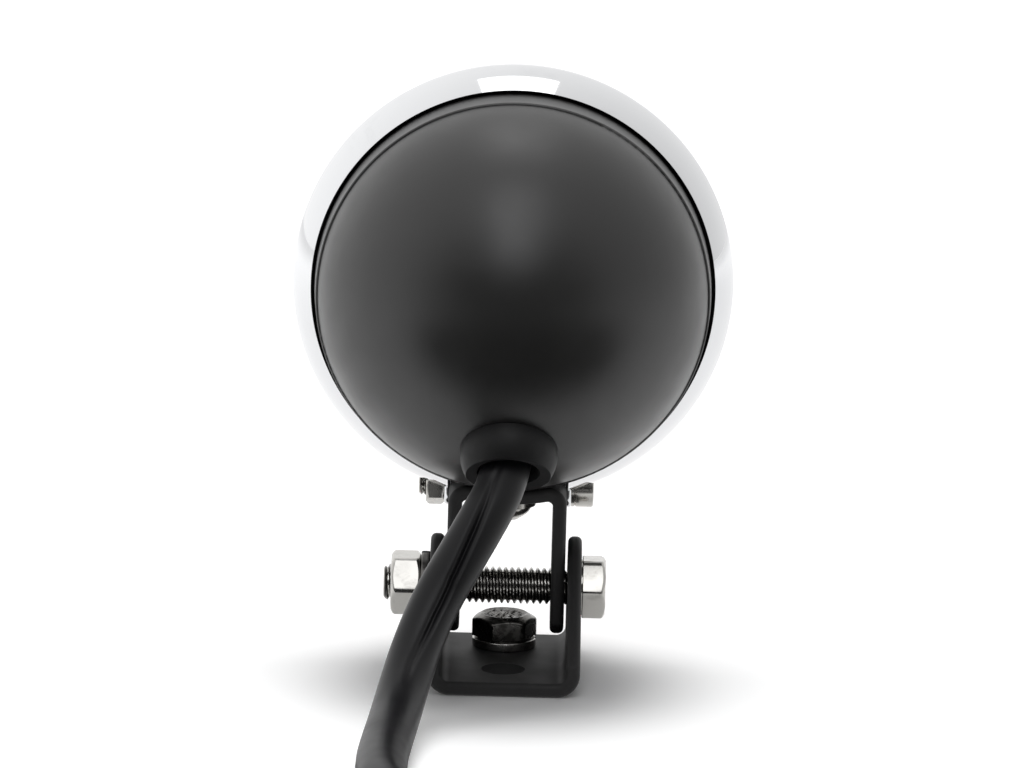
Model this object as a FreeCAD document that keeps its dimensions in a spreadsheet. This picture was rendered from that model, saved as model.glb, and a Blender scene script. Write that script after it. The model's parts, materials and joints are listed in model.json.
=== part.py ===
import FreeCAD, Part
import math
import os
from types import SimpleNamespace

import Sketcher

# Round tail light on a tilting yoke and a U-shaped foot bracket, in millimetres.
# +Y is the way the lens faces, +Z is up, and the origin is where the foot bolt's axis
# meets the underside of the base plate.

DRIVING_SIZES = {
    # Base bracket, one fold of sheet
    "base_width": 33.0,
    "base_sheet": 3.0,
    "base_front": 11.2,
    "base_rear": 33.6,
    "base_bend": 5.0,
    "ear_lug": 11.0,
    "ear_toe": 7.0,
    "second_hole": 4.75,
    "second_hole_pitch": 20.9,
    # Tilt axis
    "pivot_height": 17.2,
    "pivot_setback": 2.5,
    "thread_radius": 4.0,
    "running_gap": 0.08,
    "hole_gap": 0.3,
    # Yoke, one fold of strip
    "yoke_side_gap": 0.6,
    "yoke_sheet": 3.0,
    "yoke_half_strip": 7.5,
    "yoke_end_drop": 10.3,
    "yoke_bend": 4.0,
    "paint_round": 1.2,
    # Hexagon hardware, eight millimetre thread
    "hex_corner": 7.3,
    "hex_chamfer": 0.8,
    "bolt_head": 5.3,
    "nut_height": 6.5,
    "washer_radius": 7.0,
    "washer_thick": 2.0,
    "washer_split": 1.2,
    "bolt_tip": 1.6,
    "tilt_bolt_turn": 27.5,
    "tilt_nut_turn": 33.0,
    "foot_bolt_turn": 8.0,
    "foot_reach": 15.0,
    "foot_waist": 3.6,
    "waist_drop": 0.8,
    # Lamp body, its axis and its ring plane
    "saddle_height": 39.7,
    "ring_setback": 3.0,
    "shell_wall": 1.5,
    "dome_inset": 0.3,
    "dome_centre": 0.9,
    "crease_back": 8.7,
    "crease_step": 0.5,
    "band_radius": 43.0,
    "shell_front": 10.5,
    "shell_lip_width": 2.7,
    "seat_gap": 0.1,
    "drill_reach": 12.0,
    # Trim ring
    "ring_fit": 0.7,
    "ring_sheet": 1.1,
    "ring_flare": 4.3,
    "ring_widest": 9.0,
    "ring_front": 17.0,
    "lip_inset": 4.3,
    "shoulder_inset": 3.8,
    "lip_thick": 1.3,
    "skirt_sweep": 22.0,
    "bead_sweep": 7.5,
    "split_gap": 0.3,
    "clamp_ear": 1.6,
    "ear_overhang": 0.5,
    "clamp_ahead": 15.2,
    "clamp_below": 3.7,
    # Ring clamp screw, five millimetre thread
    "clamp_thread": 2.5,
    "clamp_head_radius": 4.25,
    "clamp_head": 4.9,
    "clamp_nut_corner": 4.55,
    "clamp_nut": 4.0,
    "clamp_tip": 1.6,
    "clamp_socket": 2.3,
    # Shell screw, six millimetre thread
    "shell_thread": 3.0,
    "shell_head_radius": 5.3,
    "shell_head": 3.2,
    "shell_head_top": 3.2,
    "shell_washer_radius": 6.2,
    "shell_washer": 1.2,
    "shell_nut": 5.0,
    "shell_nut_corner": 5.7,
    "shell_nut_rise": 0.9,
    "shell_screw_spare": 2.0,
    # Optics
    "lens_inset": 1.8,
    "lens_wall": 2.2,
    "lens_bulge": 9.0,
    "lens_gap": 0.3,
    "lens_rib": 0.7,
    "lens_eye": 8.0,
    "gasket_thick": 1.7,
    "reflector_wall": 0.8,
    "mouth_inset": 5.8,
    "reflector_depth": 22.0,
    "reflector_sweep": 52.0,
    "holder_radius": 8.9,
    "holder_wall": 1.1,
    "holder_length": 19.0,
    "holder_ahead": 3.0,
    "holder_flange": 11.5,
    "bulb_radius": 9.5,
    "bulb_neck": 6.4,
    "bulb_reach": 22.0,
    "cap_length": 15.0,
    "disc_thick": 1.8,
    "spring_wire": 0.35,
    "spring_radius": 5.4,
    "spring_turns": 2.0,
    # Cable outlet
    "outlet_angle": 43.5,
    "grommet_flange": 10.4,
    "grommet_mouth": 7.7,
    "grommet_reach": 6.1,
    "grommet_rim": 1.0,
    "grommet_swell": 9.0,
    "grommet_lip": 0.6,
    "grommet_slant": 2.9,
    "grommet_groove": 7.0,
    "cable_gap": 0.3,
    "cable_radius": 5.1,
    "connector_length": 26.0,
    "connector_width": 16.0,
    "connector_height": 11.0,
    "connector_round": 1.2,
    "connector_tail": 5.0,
    "connector_shoulder": 1.7,
    "connector_wall": 1.6,
    "connector_depth": 9.0,
    "latch_length": 10.0,
    "latch_width": 5.0,
    "latch_rise": 1.2,
}

doc = FreeCAD.newDocument("tail_light")
sheet = doc.addObject("Spreadsheet::Sheet", "Sizes")
for row, (name, number) in enumerate(DRIVING_SIZES.items(), start=1):
    sheet.set("A%d" % row, name)
    sheet.set("B%d" % row, str(number))
    sheet.setAlias("B%d" % row, name)
doc.recompute()


class Size:
    """A number together with the sheet expression that gives it."""

    def __init__(self, value, text):
        self.value = value
        self.text = text

    def joined(self, sign, other, value):
        return Size(value, "(%s %s %s)" % (self.text, sign, as_size(other).text))

    def __add__(self, other):
        return self.joined("+", other, self.value + as_size(other).value)

    def __sub__(self, other):
        return self.joined("-", other, self.value - as_size(other).value)

    def __mul__(self, other):
        return self.joined("*", other, self.value * as_size(other).value)

    def __truediv__(self, other):
        return self.joined("/", other, self.value / as_size(other).value)

    def __neg__(self):
        return Size(-self.value, "(0 - %s)" % self.text)


def as_size(number):
    """Gives a plain number the same form as a sheet value."""
    return number if isinstance(number, Size) else Size(float(number), "%r" % float(number))


def root(size):
    """The square root of a size."""
    return Size(math.sqrt(size.value), "sqrt(%s)" % size.text)


def sine(size):
    """The sine of an angle in degrees."""
    return Size(math.sin(math.radians(size.value)), "sin(%s)" % size.text)


def cosine(size):
    """The cosine of an angle in degrees."""
    return Size(math.cos(math.radians(size.value)), "cos(%s)" % size.text)


d = SimpleNamespace(**{name: Size(float(sheet.get(name)), "Sizes.%s" % name) for name in DRIVING_SIZES})

# Sizes that follow from others
d.yoke_width = d.base_width - d.base_sheet * 2 - d.yoke_side_gap * 2
d.lamp_height = d.saddle_height + d.seat_gap + d.band_radius
d.dome_radius = d.band_radius - d.dome_inset
d.shell_lip = d.band_radius + d.shell_lip_width
d.ring_rear_radius = d.band_radius + d.ring_fit
d.ring_radius = d.ring_rear_radius + d.ring_flare
d.ring_lip = d.band_radius - d.lip_inset
d.ring_shoulder = d.ring_radius - d.shoulder_inset
d.clamp_drop = d.band_radius + d.clamp_below
d.lens_edge = d.band_radius - d.lens_inset
d.reflector_mouth = d.band_radius - d.mouth_inset

TURNS = {
    "+X": FreeCAD.Rotation(FreeCAD.Vector(0, 1, 0), 90),
    "-X": FreeCAD.Rotation(FreeCAD.Vector(0, 1, 0), -90),
    "+Y": FreeCAD.Rotation(FreeCAD.Vector(1, 0, 0), -90),
    "+Z": FreeCAD.Rotation(),
    "-Z": FreeCAD.Rotation(FreeCAD.Vector(1, 0, 0), 180),
}


def place(item, at, turn=FreeCAD.Rotation()):
    """Turns an object and ties its position to the sheet."""
    item.Placement = FreeCAD.Placement(FreeCAD.Vector(), turn)
    for axis, part in zip("xyz", at):
        item.setExpression("Placement.Base.%s" % axis, as_size(part).text)
    return item


def cylinder(name, radius, length, at, along="+Z"):
    """A cylinder that starts at a point and runs along an axis."""
    item = doc.addObject("Part::Cylinder", name)
    item.setExpression("Radius", as_size(radius).text)
    item.setExpression("Height", as_size(length).text)
    return place(item, at, TURNS[along])


def cone(name, start_radius, end_radius, length, at, along="+Z"):
    """A cone frustum that starts at a point and runs along an axis."""
    item = doc.addObject("Part::Cone", name)
    item.setExpression("Radius1", as_size(start_radius).text)
    item.setExpression("Radius2", as_size(end_radius).text)
    item.setExpression("Height", as_size(length).text)
    return place(item, at, TURNS[along])


def hexagon(name, corner, length, at, along="+Z", turn=0.0):
    """A hexagonal prism, turned about its own axis."""
    item = doc.addObject("Part::Prism", name)
    item.Polygon = 6
    item.setExpression("Circumradius", as_size(corner).text)
    item.setExpression("Height", as_size(length).text)
    spin = FreeCAD.Rotation(FreeCAD.Vector(0, 0, 1), turn)
    return place(item, at, TURNS[along] * spin)


def ball(name, radius, at):
    """A ball with its poles along X."""
    item = doc.addObject("Part::Sphere", name)
    item.setExpression("Radius", as_size(radius).text)
    return place(item, at, TURNS["+X"])


def block(name, length, width, height, at):
    """A box from its lowest corner."""
    item = doc.addObject("Part::Box", name)
    for side, amount in zip(("Length", "Width", "Height"), (length, width, height)):
        item.setExpression(side, as_size(amount).text)
    return place(item, at)


def fuse(name, *pieces):
    """One solid from pieces that meet."""
    item = doc.addObject("Part::MultiFuse", name)
    item.Shapes = list(pieces)
    item.Refine = True
    return item


def cut(name, base, *tools):
    """A piece with others taken out of it."""
    item = doc.addObject("Part::Cut", name)
    item.Base = base
    item.Tool = tools[0] if len(tools) == 1 else fuse(name + "_tools", *tools)
    return item


def common(name, first, second):
    """What two pieces share."""
    item = doc.addObject("Part::Common", name)
    item.Base = first
    item.Tool = second
    return item


def new_sketch(body, name, plane):
    """A sketch on one of a body's own planes."""
    sketch = body.newObject("Sketcher::SketchObject", name)
    found = [part for part in body.Origin.OriginFeatures if part.Role == plane]
    sketch.AttachmentSupport = [(found[0], "")]
    sketch.MapMode = "FlatFace"
    return sketch


def hold(sketch, kind, where, size):
    """Adds a constraint whose amount follows the sheet."""
    index = sketch.addConstraint(Sketcher.Constraint(kind, *where, as_size(size).value))
    if isinstance(size, Size):
        sketch.setExpression("Constraints[%d]" % index, size.text)


def arc_through(start, end, radius, side):
    """The short arc between two points, bulging to the right (side 1) or left (side -1)."""
    chord = end - start
    middle = (start + end) * 0.5
    rise = radius - math.sqrt(radius ** 2 - (chord.Length / 2) ** 2)
    across = FreeCAD.Vector(chord.y, -chord.x, 0).normalize()
    return Part.Arc(start, middle + across * (rise * side), end)


def outline(sketch, corners):
    """
    Draws a closed outline. Each corner is (x, y) or (x, y, radius, side): with a radius, the edge
    that leaves the corner is an arc, bulging to the right of its run for side 1.
    """
    points = [FreeCAD.Vector(as_size(c[0]).value, as_size(c[1]).value, 0) for c in corners]
    ends = []
    for index, corner in enumerate(corners):
        start = points[index]
        end = points[(index + 1) % len(points)]
        if len(corner) == 2:
            edge = sketch.addGeometry(Part.LineSegment(start, end))
        else:
            edge = sketch.addGeometry(arc_through(start, end, as_size(corner[2]).value, corner[3]))
        first = 1 if sketch.getPoint(edge, 1).isEqual(start, 1e-6) else 2
        ends.append((edge, first, 3 - first))
    for index, corner in enumerate(corners):
        edge, first, last = ends[index]
        after = ends[(index + 1) % len(ends)]
        sketch.addConstraint(Sketcher.Constraint("Coincident", edge, last, after[0], after[1]))
        hold(sketch, "DistanceX", (edge, first), corner[0])
        hold(sketch, "DistanceY", (edge, first), corner[1])
        if len(corner) == 4:
            hold(sketch, "Radius", (edge,), corner[2])
    return sketch


def circle(sketch, x, y, radius):
    """Draws a circle."""
    centre = FreeCAD.Vector(as_size(x).value, as_size(y).value, 0)
    index = sketch.addGeometry(Part.Circle(centre, FreeCAD.Vector(0, 0, 1), as_size(radius).value))
    hold(sketch, "DistanceX", (index, 3), x)
    hold(sketch, "DistanceY", (index, 3), y)
    hold(sketch, "Radius", (index,), radius)


def new_body(name):
    """An empty part body."""
    return doc.addObject("PartDesign::Body", name)


def turned(name, corners):
    """A body turned about its own Y axis from a half section of (radius, height) corners."""
    body = new_body(name)
    sketch = outline(new_sketch(body, name + "_section", "XY_Plane"), corners)
    turn = body.newObject("PartDesign::Revolution", name + "_turn")
    turn.Profile = sketch
    turn.ReferenceAxis = (sketch, ["V_Axis"])
    turn.Angle = 360.0
    body.Tip = turn
    return body


def padded(body, sketch, length, reverse=False):
    """Pads a sketch by a sheet length."""
    pad = body.newObject("PartDesign::Pad", sketch.Name + "_pad")
    pad.Profile = sketch
    pad.setExpression("Length", as_size(length).text)
    pad.Reversed = reverse
    body.Tip = pad
    return pad


def pierced(body, sketch):
    """Cuts a sketch right through, both ways."""
    pocket = body.newObject("PartDesign::Pocket", sketch.Name + "_cut")
    pocket.Profile = sketch
    pocket.Type = "ThroughAll"
    pocket.SideType = "Symmetric"
    body.Tip = pocket
    return pocket


def softened(body, edges_of):
    """Rounds every edge of a folded piece, as thick paint does."""
    soft = body.newObject("PartDesign::Fillet", edges_of.Name + "_soft")
    soft.Base = (edges_of, [""])
    soft.UseAllEdges = True
    soft.setExpression("Radius", d.paint_round.text)
    body.Tip = soft
    return soft


def named(item, label):
    """Gives a finished piece the name of its node."""
    item.Label = label
    nodes.append(item)
    return item


nodes = []
pivot = (-d.pivot_setback, d.pivot_height)
lamp_at = (0, -d.ring_setback, d.lamp_height)
hinge_hole = d.thread_radius + d.running_gap
thread_hole = d.thread_radius + d.hole_gap
ear_inside = d.base_width / 2 - d.base_sheet
clamp_grip = d.yoke_width / 2 - d.ear_overhang + d.clamp_ear
relief_rear = d.clamp_ahead - d.clamp_head_radius - d.split_gap


def make_base_bracket():
    """A U of sheet: a foot plate with two holes, and two ears that carry the cross bolt."""
    body = new_body("base_fold")
    half = d.base_width / 2
    inner_bend = d.base_bend - d.base_sheet
    top = d.pivot_height + d.ear_lug
    section = new_sketch(body, "base_section", "XZ_Plane")
    section.setExpression("AttachmentOffset.Base.z", (-d.base_front).text)
    outline(section, [
        (-half + d.base_bend, 0),
        (half - d.base_bend, 0, d.base_bend, 1),
        (half, d.base_bend),
        (half, top),
        (ear_inside, top),
        (ear_inside, d.base_bend, inner_bend, -1),
        (ear_inside - inner_bend, d.base_sheet),
        (-ear_inside + inner_bend, d.base_sheet, inner_bend, -1),
        (-ear_inside, d.base_bend),
        (-ear_inside, top),
        (-half, top),
        (-half, d.base_bend, d.base_bend, 1),
    ])
    padded(body, section, d.base_front + d.base_rear)
    softened(body, trim_ears(body))
    holes = new_sketch(body, "plate_holes", "XY_Plane")
    circle(holes, 0, 0, thread_hole)
    circle(holes, 0, -d.second_hole_pitch, d.second_hole)
    pierced(body, holes)
    cross = new_sketch(body, "ear_holes", "YZ_Plane")
    circle(cross, pivot[0], pivot[1], thread_hole)
    pierced(body, cross)
    named(body, "base_bracket")


def trim_ears(body):
    """Cuts the ears to a round lug over the cross bolt, with sloping sides down to the plate."""
    sketch = new_sketch(body, "ear_trim", "YZ_Plane")
    margin = d.base_bend
    rear = -d.base_rear
    front = d.base_front
    floor = -margin
    roof = d.pivot_height + d.ear_lug + margin
    outline(sketch, [
        (rear - margin, floor - margin),
        (front + margin, floor - margin),
        (front + margin, roof),
        (rear - margin, roof),
    ])
    rear_touch = tangent_point(rear, d.ear_toe, -1)
    front_touch = tangent_point(front, d.ear_toe, 1)
    crown = (pivot[0], d.pivot_height + d.ear_lug)
    outline(sketch, [
        (rear, floor),
        (front, floor),
        (front, d.ear_toe),
        (front_touch[0], front_touch[1], d.ear_lug, 1),
        (crown[0], crown[1], d.ear_lug, 1),
        (rear_touch[0], rear_touch[1]),
        (rear, d.ear_toe),
    ])
    return pierced(body, sketch)


def tangent_point(across, height, side):
    """Where the line from a toe corner touches the lug's circle on its upper side."""
    away = across - pivot[0]
    rise = as_size(height) - pivot[1]
    span = away * away + rise * rise
    reach = root(span - d.ear_lug * d.ear_lug)
    along = d.ear_lug * d.ear_lug / span
    beside = d.ear_lug * reach / span * side
    return (pivot[0] + away * along - rise * beside, pivot[1] + rise * along + away * beside)


def make_yoke():
    """A strip folded to an inverted U: a saddle curved to the shell, and two legs."""
    body = new_body("yoke_fold")
    half = d.yoke_width / 2
    inside = half - d.yoke_sheet
    bend = d.yoke_bend
    seat = d.band_radius + d.seat_gap
    under = seat + d.yoke_sheet
    low = d.pivot_height - d.yoke_end_drop
    flat = half - bend
    seat_end = d.lamp_height - root(seat * seat - flat * flat)
    shoulder = seat_end - bend
    under_end = d.lamp_height - root(under * under - flat * flat)
    section = new_sketch(body, "yoke_section", "XZ_Plane")
    section.setExpression("AttachmentOffset.Base.z", (d.pivot_setback - d.yoke_half_strip).text)
    outline(section, [
        (inside, low),
        (half, low),
        (half, shoulder, bend, 1),
        (flat, seat_end, seat, -1),
        (-flat, seat_end, bend, 1),
        (-half, shoulder),
        (-half, low),
        (-inside, low),
        (-inside, shoulder, bend - d.yoke_sheet, -1),
        (-flat, under_end, under, 1),
        (flat, under_end, bend - d.yoke_sheet, -1),
        (inside, shoulder),
    ])
    padded(body, section, d.yoke_half_strip * 2)
    ends = new_sketch(body, "leg_ends", "YZ_Plane")
    near = pivot[0] - d.yoke_half_strip
    far = pivot[0] + d.yoke_half_strip
    round_start = d.pivot_height - root(d.yoke_end_drop * d.yoke_end_drop
                                        - d.yoke_half_strip * d.yoke_half_strip)
    margin = d.yoke_sheet
    outline(ends, [
        (near - margin, low - margin),
        (far + margin, low - margin),
        (far + margin, round_start),
        (far, round_start, d.yoke_end_drop, -1),
        (pivot[0], low, d.yoke_end_drop, -1),
        (near, round_start),
        (near - margin, round_start),
    ])
    softened(body, pierced(body, ends))
    hinge = new_sketch(body, "leg_holes", "YZ_Plane")
    circle(hinge, pivot[0], pivot[1], hinge_hole)
    pierced(body, hinge)
    saddle = new_sketch(body, "saddle_hole", "XY_Plane")
    circle(saddle, 0, pivot[0], d.shell_thread + d.hole_gap)
    pierced(body, saddle)
    named(body, "yoke")


def hex_bolt(label, at, along, shank, turn, waist=None):
    """A hexagon bolt from under its head: chamfered head, shank, point, and a waist if one is given."""
    head = hexagon(label + "_hex", d.hex_corner, d.bolt_head, at, along, turn)
    tip = d.hex_corner + d.hex_chamfer
    taper = d.bolt_head + d.hex_chamfer * 3
    crown = cone(label + "_crown", tip + d.bolt_head, tip - d.hex_chamfer * 2, taper, at, along)
    body = common(label + "_head", head, crown)
    opposite = ("-" if along[0] == "+" else "+") + along[1]
    pieces = [body]
    thread_from = as_size(0)
    if waist:
        thread_from = waist
        pieces.append(cylinder(label + "_waist", d.foot_waist, waist, at, opposite))
    thread = shank - thread_from - d.hex_chamfer
    thread_at = beyond(at, along, thread_from)
    pieces.append(cylinder(label + "_shank", d.thread_radius, thread, thread_at, opposite))
    tip_at = beyond(at, along, shank - d.hex_chamfer)
    pieces.append(cone(label + "_point", d.thread_radius, d.thread_radius - d.hex_chamfer, d.hex_chamfer,
                       tip_at, opposite))
    return fuse(label + "_solid", *pieces)


def beyond(at, along, distance):
    """The point that lies behind another one, against an axis direction."""
    moved = [as_size(part) for part in at]
    axis = "XYZ".index(along[1])
    moved[axis] = moved[axis] - distance if along[0] == "+" else moved[axis] + distance
    return moved


def lock_washer(label, at, along, slit):
    """A split spring washer that lies flat when the bolt is tight."""
    ring = cylinder(label + "_ring", d.washer_radius, d.washer_thick, at, along)
    bore = cylinder(label + "_bore", thread_hole, d.washer_thick, at, along)
    return cut(label + "_solid", ring, bore, slit)


def make_tilt_hardware():
    """The cross bolt through ears and legs, its nut and its split washer."""
    y, z = pivot
    half = d.base_width / 2
    shank = d.base_width + d.washer_thick + d.nut_height + d.bolt_tip
    named(hex_bolt("tilt_bolt", (half, y, z), "+X", shank, d.tilt_bolt_turn.value), "tilt_bolt")
    washer_at = (-half - d.washer_thick, y, z)
    slit = block("tilt_slit", d.washer_thick, d.washer_split, d.washer_radius + d.washer_split,
                 (washer_at[0], y - d.washer_split / 2, z))
    named(lock_washer("tilt_lock_washer", washer_at, "+X", slit), "tilt_lock_washer")
    nut_at = (-half - d.washer_thick - d.nut_height, y, z)
    body = hexagon("tilt_nut_hex", d.hex_corner, d.nut_height, nut_at, "+X", d.tilt_nut_turn.value)
    bore = cylinder("tilt_nut_bore", d.thread_radius, d.nut_height, nut_at, "+X")
    crown = cone("tilt_nut_crown", d.hex_corner - d.hex_chamfer, d.hex_corner + d.nut_height,
                 d.nut_height, nut_at, "+X")
    named(cut("tilt_nut_solid", common("tilt_nut_blank", body, crown), bore), "tilt_nut")


def make_foot_hardware():
    """The bolt that fixes the base, with its split washer."""
    top = d.base_sheet + d.washer_thick
    waist = top + d.waist_drop
    named(hex_bolt("foot_bolt", (0, 0, top), "+Z", top + d.foot_reach, d.foot_bolt_turn.value, waist),
          "foot_bolt")
    slit = block("foot_slit", d.washer_radius + d.washer_split, d.washer_split, d.washer_thick,
                 (0, d.washer_split / -2, d.base_sheet))
    named(lock_washer("foot_lock_washer", (0, 0, d.base_sheet), "+Z", slit), "foot_lock_washer")


outlet_from = (0, -d.ring_setback - d.dome_centre, d.lamp_height)


def along_outlet(distance):
    """A point on the cable outlet's axis, at a distance from the dome's centre."""
    return (0, outlet_from[1] - cosine(d.outlet_angle) * distance,
            outlet_from[2] - sine(d.outlet_angle) * distance)


def tilt_to_outlet(item, at):
    """Sets a piece on the outlet's axis, its Y axis pointing out of the shell."""
    turn = FreeCAD.Rotation(FreeCAD.Vector(1, 0, 0), 180.0 + d.outlet_angle.value)
    place(item, at, turn)
    item.setExpression("Placement.Rotation.Angle", (d.outlet_angle + 180.0).text)
    return item


def make_rear_shell():
    """The pressed housing: a near-hemisphere, a band with a rounded step, and a lip turned out in front."""
    wall = d.shell_wall
    inner = d.dome_radius - wall
    back = d.crease_back - d.dome_centre
    crease = root(d.dome_radius * d.dome_radius - back * back)
    crease_inside = root(inner * inner - back * back)
    band = turned("shell_band", [
        (crease_inside, -d.crease_back),
        (crease, -d.crease_back, d.crease_step, 1),
        (crease + d.crease_step, -d.crease_back + d.crease_step),
        (d.band_radius, 0),
        (d.band_radius, d.shell_front - wall / 2),
        (d.shell_lip, d.shell_front - wall / 2),
        (d.shell_lip, d.shell_front),
        (d.band_radius - wall, d.shell_front),
        (d.band_radius - wall, 0),
    ])
    place(band, lamp_at)
    dome = ball("dome_ball", d.dome_radius, outlet_from)
    hollow = cut("dome_hollow", dome, ball("dome_core", inner, outlet_from))
    half = d.band_radius
    crease_y = -d.ring_setback - d.crease_back
    rear_half = block("dome_rear", half * 2, half, half * 2, (-half, crease_y - half, d.lamp_height - half))
    body = fuse("shell_press", band, common("dome_cap", hollow, rear_half))
    outlet = cylinder("outlet_hole", d.grommet_groove + d.seat_gap, d.drill_reach, along_outlet(0))
    tilt_axis_z(outlet, d.dome_radius - d.drill_reach / 2)
    screw = cylinder("shell_screw_hole", d.shell_thread + d.hole_gap, d.drill_reach,
                     (0, pivot[0], d.lamp_height - d.band_radius - d.drill_reach / 2))
    gap_half = clamp_grip + d.split_gap
    slot = block("lip_slot", gap_half * 2, d.shell_front, d.shell_lip / 2,
                 (-gap_half, pivot[0], d.lamp_height - d.shell_lip - wall))
    core = cylinder("lip_core", d.band_radius, d.shell_front, (0, pivot[0], d.lamp_height), "+Y")
    named(cut("shell_solid", body, outlet, screw, cut("lip_gap", slot, core)), "rear_shell")


def tilt_axis_z(item, distance):
    """Sets a cylinder on the outlet's axis, running outwards from a distance."""
    turn = FreeCAD.Rotation(FreeCAD.Vector(1, 0, 0), 90.0 + d.outlet_angle.value)
    place(item, along_outlet(distance), turn)
    item.setExpression("Placement.Rotation.Angle", (d.outlet_angle + 90.0).text)
    return item


# The rolled rear edge's radius, as a share of the ring's sheet
ROLLED_EDGE = 0.6


def make_trim_ring():
    """The chrome ring: a flared skirt, a round bead and a lip, split below with two clamp ears."""
    skin = d.ring_sheet
    lip_back = d.ring_front - d.lip_thick
    body = turned("ring_roll", [
        (d.ring_rear_radius, 0, skin * ROLLED_EDGE, 1),
        (d.ring_rear_radius + skin, 0, d.skirt_sweep, 1),
        (d.ring_radius, d.ring_widest, d.bead_sweep, 1),
        (d.ring_shoulder, d.ring_front - d.lip_thick / 2, d.bead_sweep, 1),
        (d.ring_lip + skin, d.ring_front),
        (d.ring_lip, d.ring_front - skin / 2),
        (d.ring_lip, lip_back),
        (d.lens_edge + skin, lip_back, d.bead_sweep, -1),
        (d.ring_radius - skin, d.ring_widest, d.skirt_sweep, -1),
    ])
    place(body, lamp_at)
    half = d.yoke_width / 2 + d.split_gap
    low = d.lamp_height - d.ring_radius - skin
    rise = d.ring_radius + skin - d.ring_lip + d.lens_wall
    split = block("ring_split", half * 2, d.ring_front * 2, rise,
                  (-half, -d.ring_setback - skin, low))
    relief = clamp_grip + d.clamp_head + d.clamp_tip
    relief_top = d.lamp_height - d.clamp_drop + d.clamp_head_radius + skin
    notch = block("clamp_relief", relief * 2, d.ring_front, relief_top - low,
                  (-relief, relief_rear - d.ring_setback, low))
    rolled = cut("ring_rolled", body, split, notch)
    ears = [clamp_ear("left_ear", -clamp_grip), clamp_ear("right_ear", clamp_grip - d.clamp_ear)]
    named(fuse("ring_solid", rolled, *ears), "trim_ring")


def clamp_ear(name, start):
    """One ear of the split ring, folded forward past the yoke, with its screw hole."""
    screw_y = d.clamp_ahead - d.ring_setback
    screw_z = d.lamp_height - d.clamp_drop
    rear = pivot[0] + d.yoke_half_strip + d.split_gap
    low = screw_z - d.clamp_head_radius
    plate = block(name, d.clamp_ear, screw_y + d.clamp_head_radius - rear, d.clamp_head_radius * 2,
                  (start, rear, low))
    hole = cylinder(name + "_hole", d.clamp_thread + d.hole_gap, d.clamp_ear,
                    (start, screw_y, screw_z), "+X")
    return cut(name + "_plate", plate, hole)


def make_ring_clamp():
    """The socket screw across the ring's split, and its nut."""
    y = d.clamp_ahead - d.ring_setback
    z = d.lamp_height - d.clamp_drop
    grip = clamp_grip
    head = cylinder("clamp_head", d.clamp_head_radius, d.clamp_head, (grip, y, z), "+X")
    socket = hexagon("clamp_hex", d.clamp_socket, d.clamp_head / 2,
                     (grip + d.clamp_head / 2, y, z), "+X")
    stem = cylinder("clamp_stem", d.clamp_thread, grip * 2 + d.clamp_nut + d.clamp_tip,
                    (-grip - d.clamp_nut - d.clamp_tip, y, z), "+X")
    named(fuse("clamp_screw_solid", cut("clamp_cap", head, socket), stem), "ring_clamp_screw")
    nut_at = (-grip - d.clamp_nut, y, z)
    nut = hexagon("clamp_nut_hex", d.clamp_nut_corner, d.clamp_nut, nut_at, "+X")
    bore = cylinder("clamp_nut_bore", d.clamp_thread, d.clamp_nut, nut_at, "+X")
    named(cut("clamp_nut_solid", nut, bore), "ring_clamp_nut")


def make_shell_screw():
    """The button-head screw through saddle and shell, its washer, and the nut inside."""
    saddle_low = d.lamp_height - d.band_radius - d.seat_gap - d.yoke_sheet
    washer_low = saddle_low - d.shell_washer
    y = pivot[0]
    ring = cylinder("shell_washer_ring", d.shell_washer_radius, d.shell_washer, (0, y, washer_low))
    bore = cylinder("shell_washer_bore", d.shell_thread + d.hole_gap, d.shell_washer, (0, y, washer_low))
    named(cut("shell_washer_solid", ring, bore), "shell_screw_washer")
    head = cone("shell_screw_button", d.shell_head_radius, d.shell_head_top, d.shell_head,
                (0, y, washer_low), "-Z")
    socket = hexagon("shell_screw_hex", d.clamp_socket, d.shell_head / 2,
                     (0, y, washer_low - d.shell_head))
    nut_low = d.lamp_height - d.band_radius + d.shell_wall + d.shell_nut_rise
    stem = cylinder("shell_screw_stem", d.shell_thread,
                    nut_low + d.shell_nut + d.shell_screw_spare - washer_low, (0, y, washer_low))
    named(fuse("shell_screw_solid", cut("shell_screw_cap", head, socket), stem), "shell_screw")
    nut = hexagon("shell_nut_hex", d.shell_nut_corner, d.shell_nut, (0, y, nut_low))
    bore = cylinder("shell_nut_bore", d.shell_thread, d.shell_nut, (0, y, nut_low))
    named(cut("shell_nut_solid", nut, bore), "shell_nut")


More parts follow.
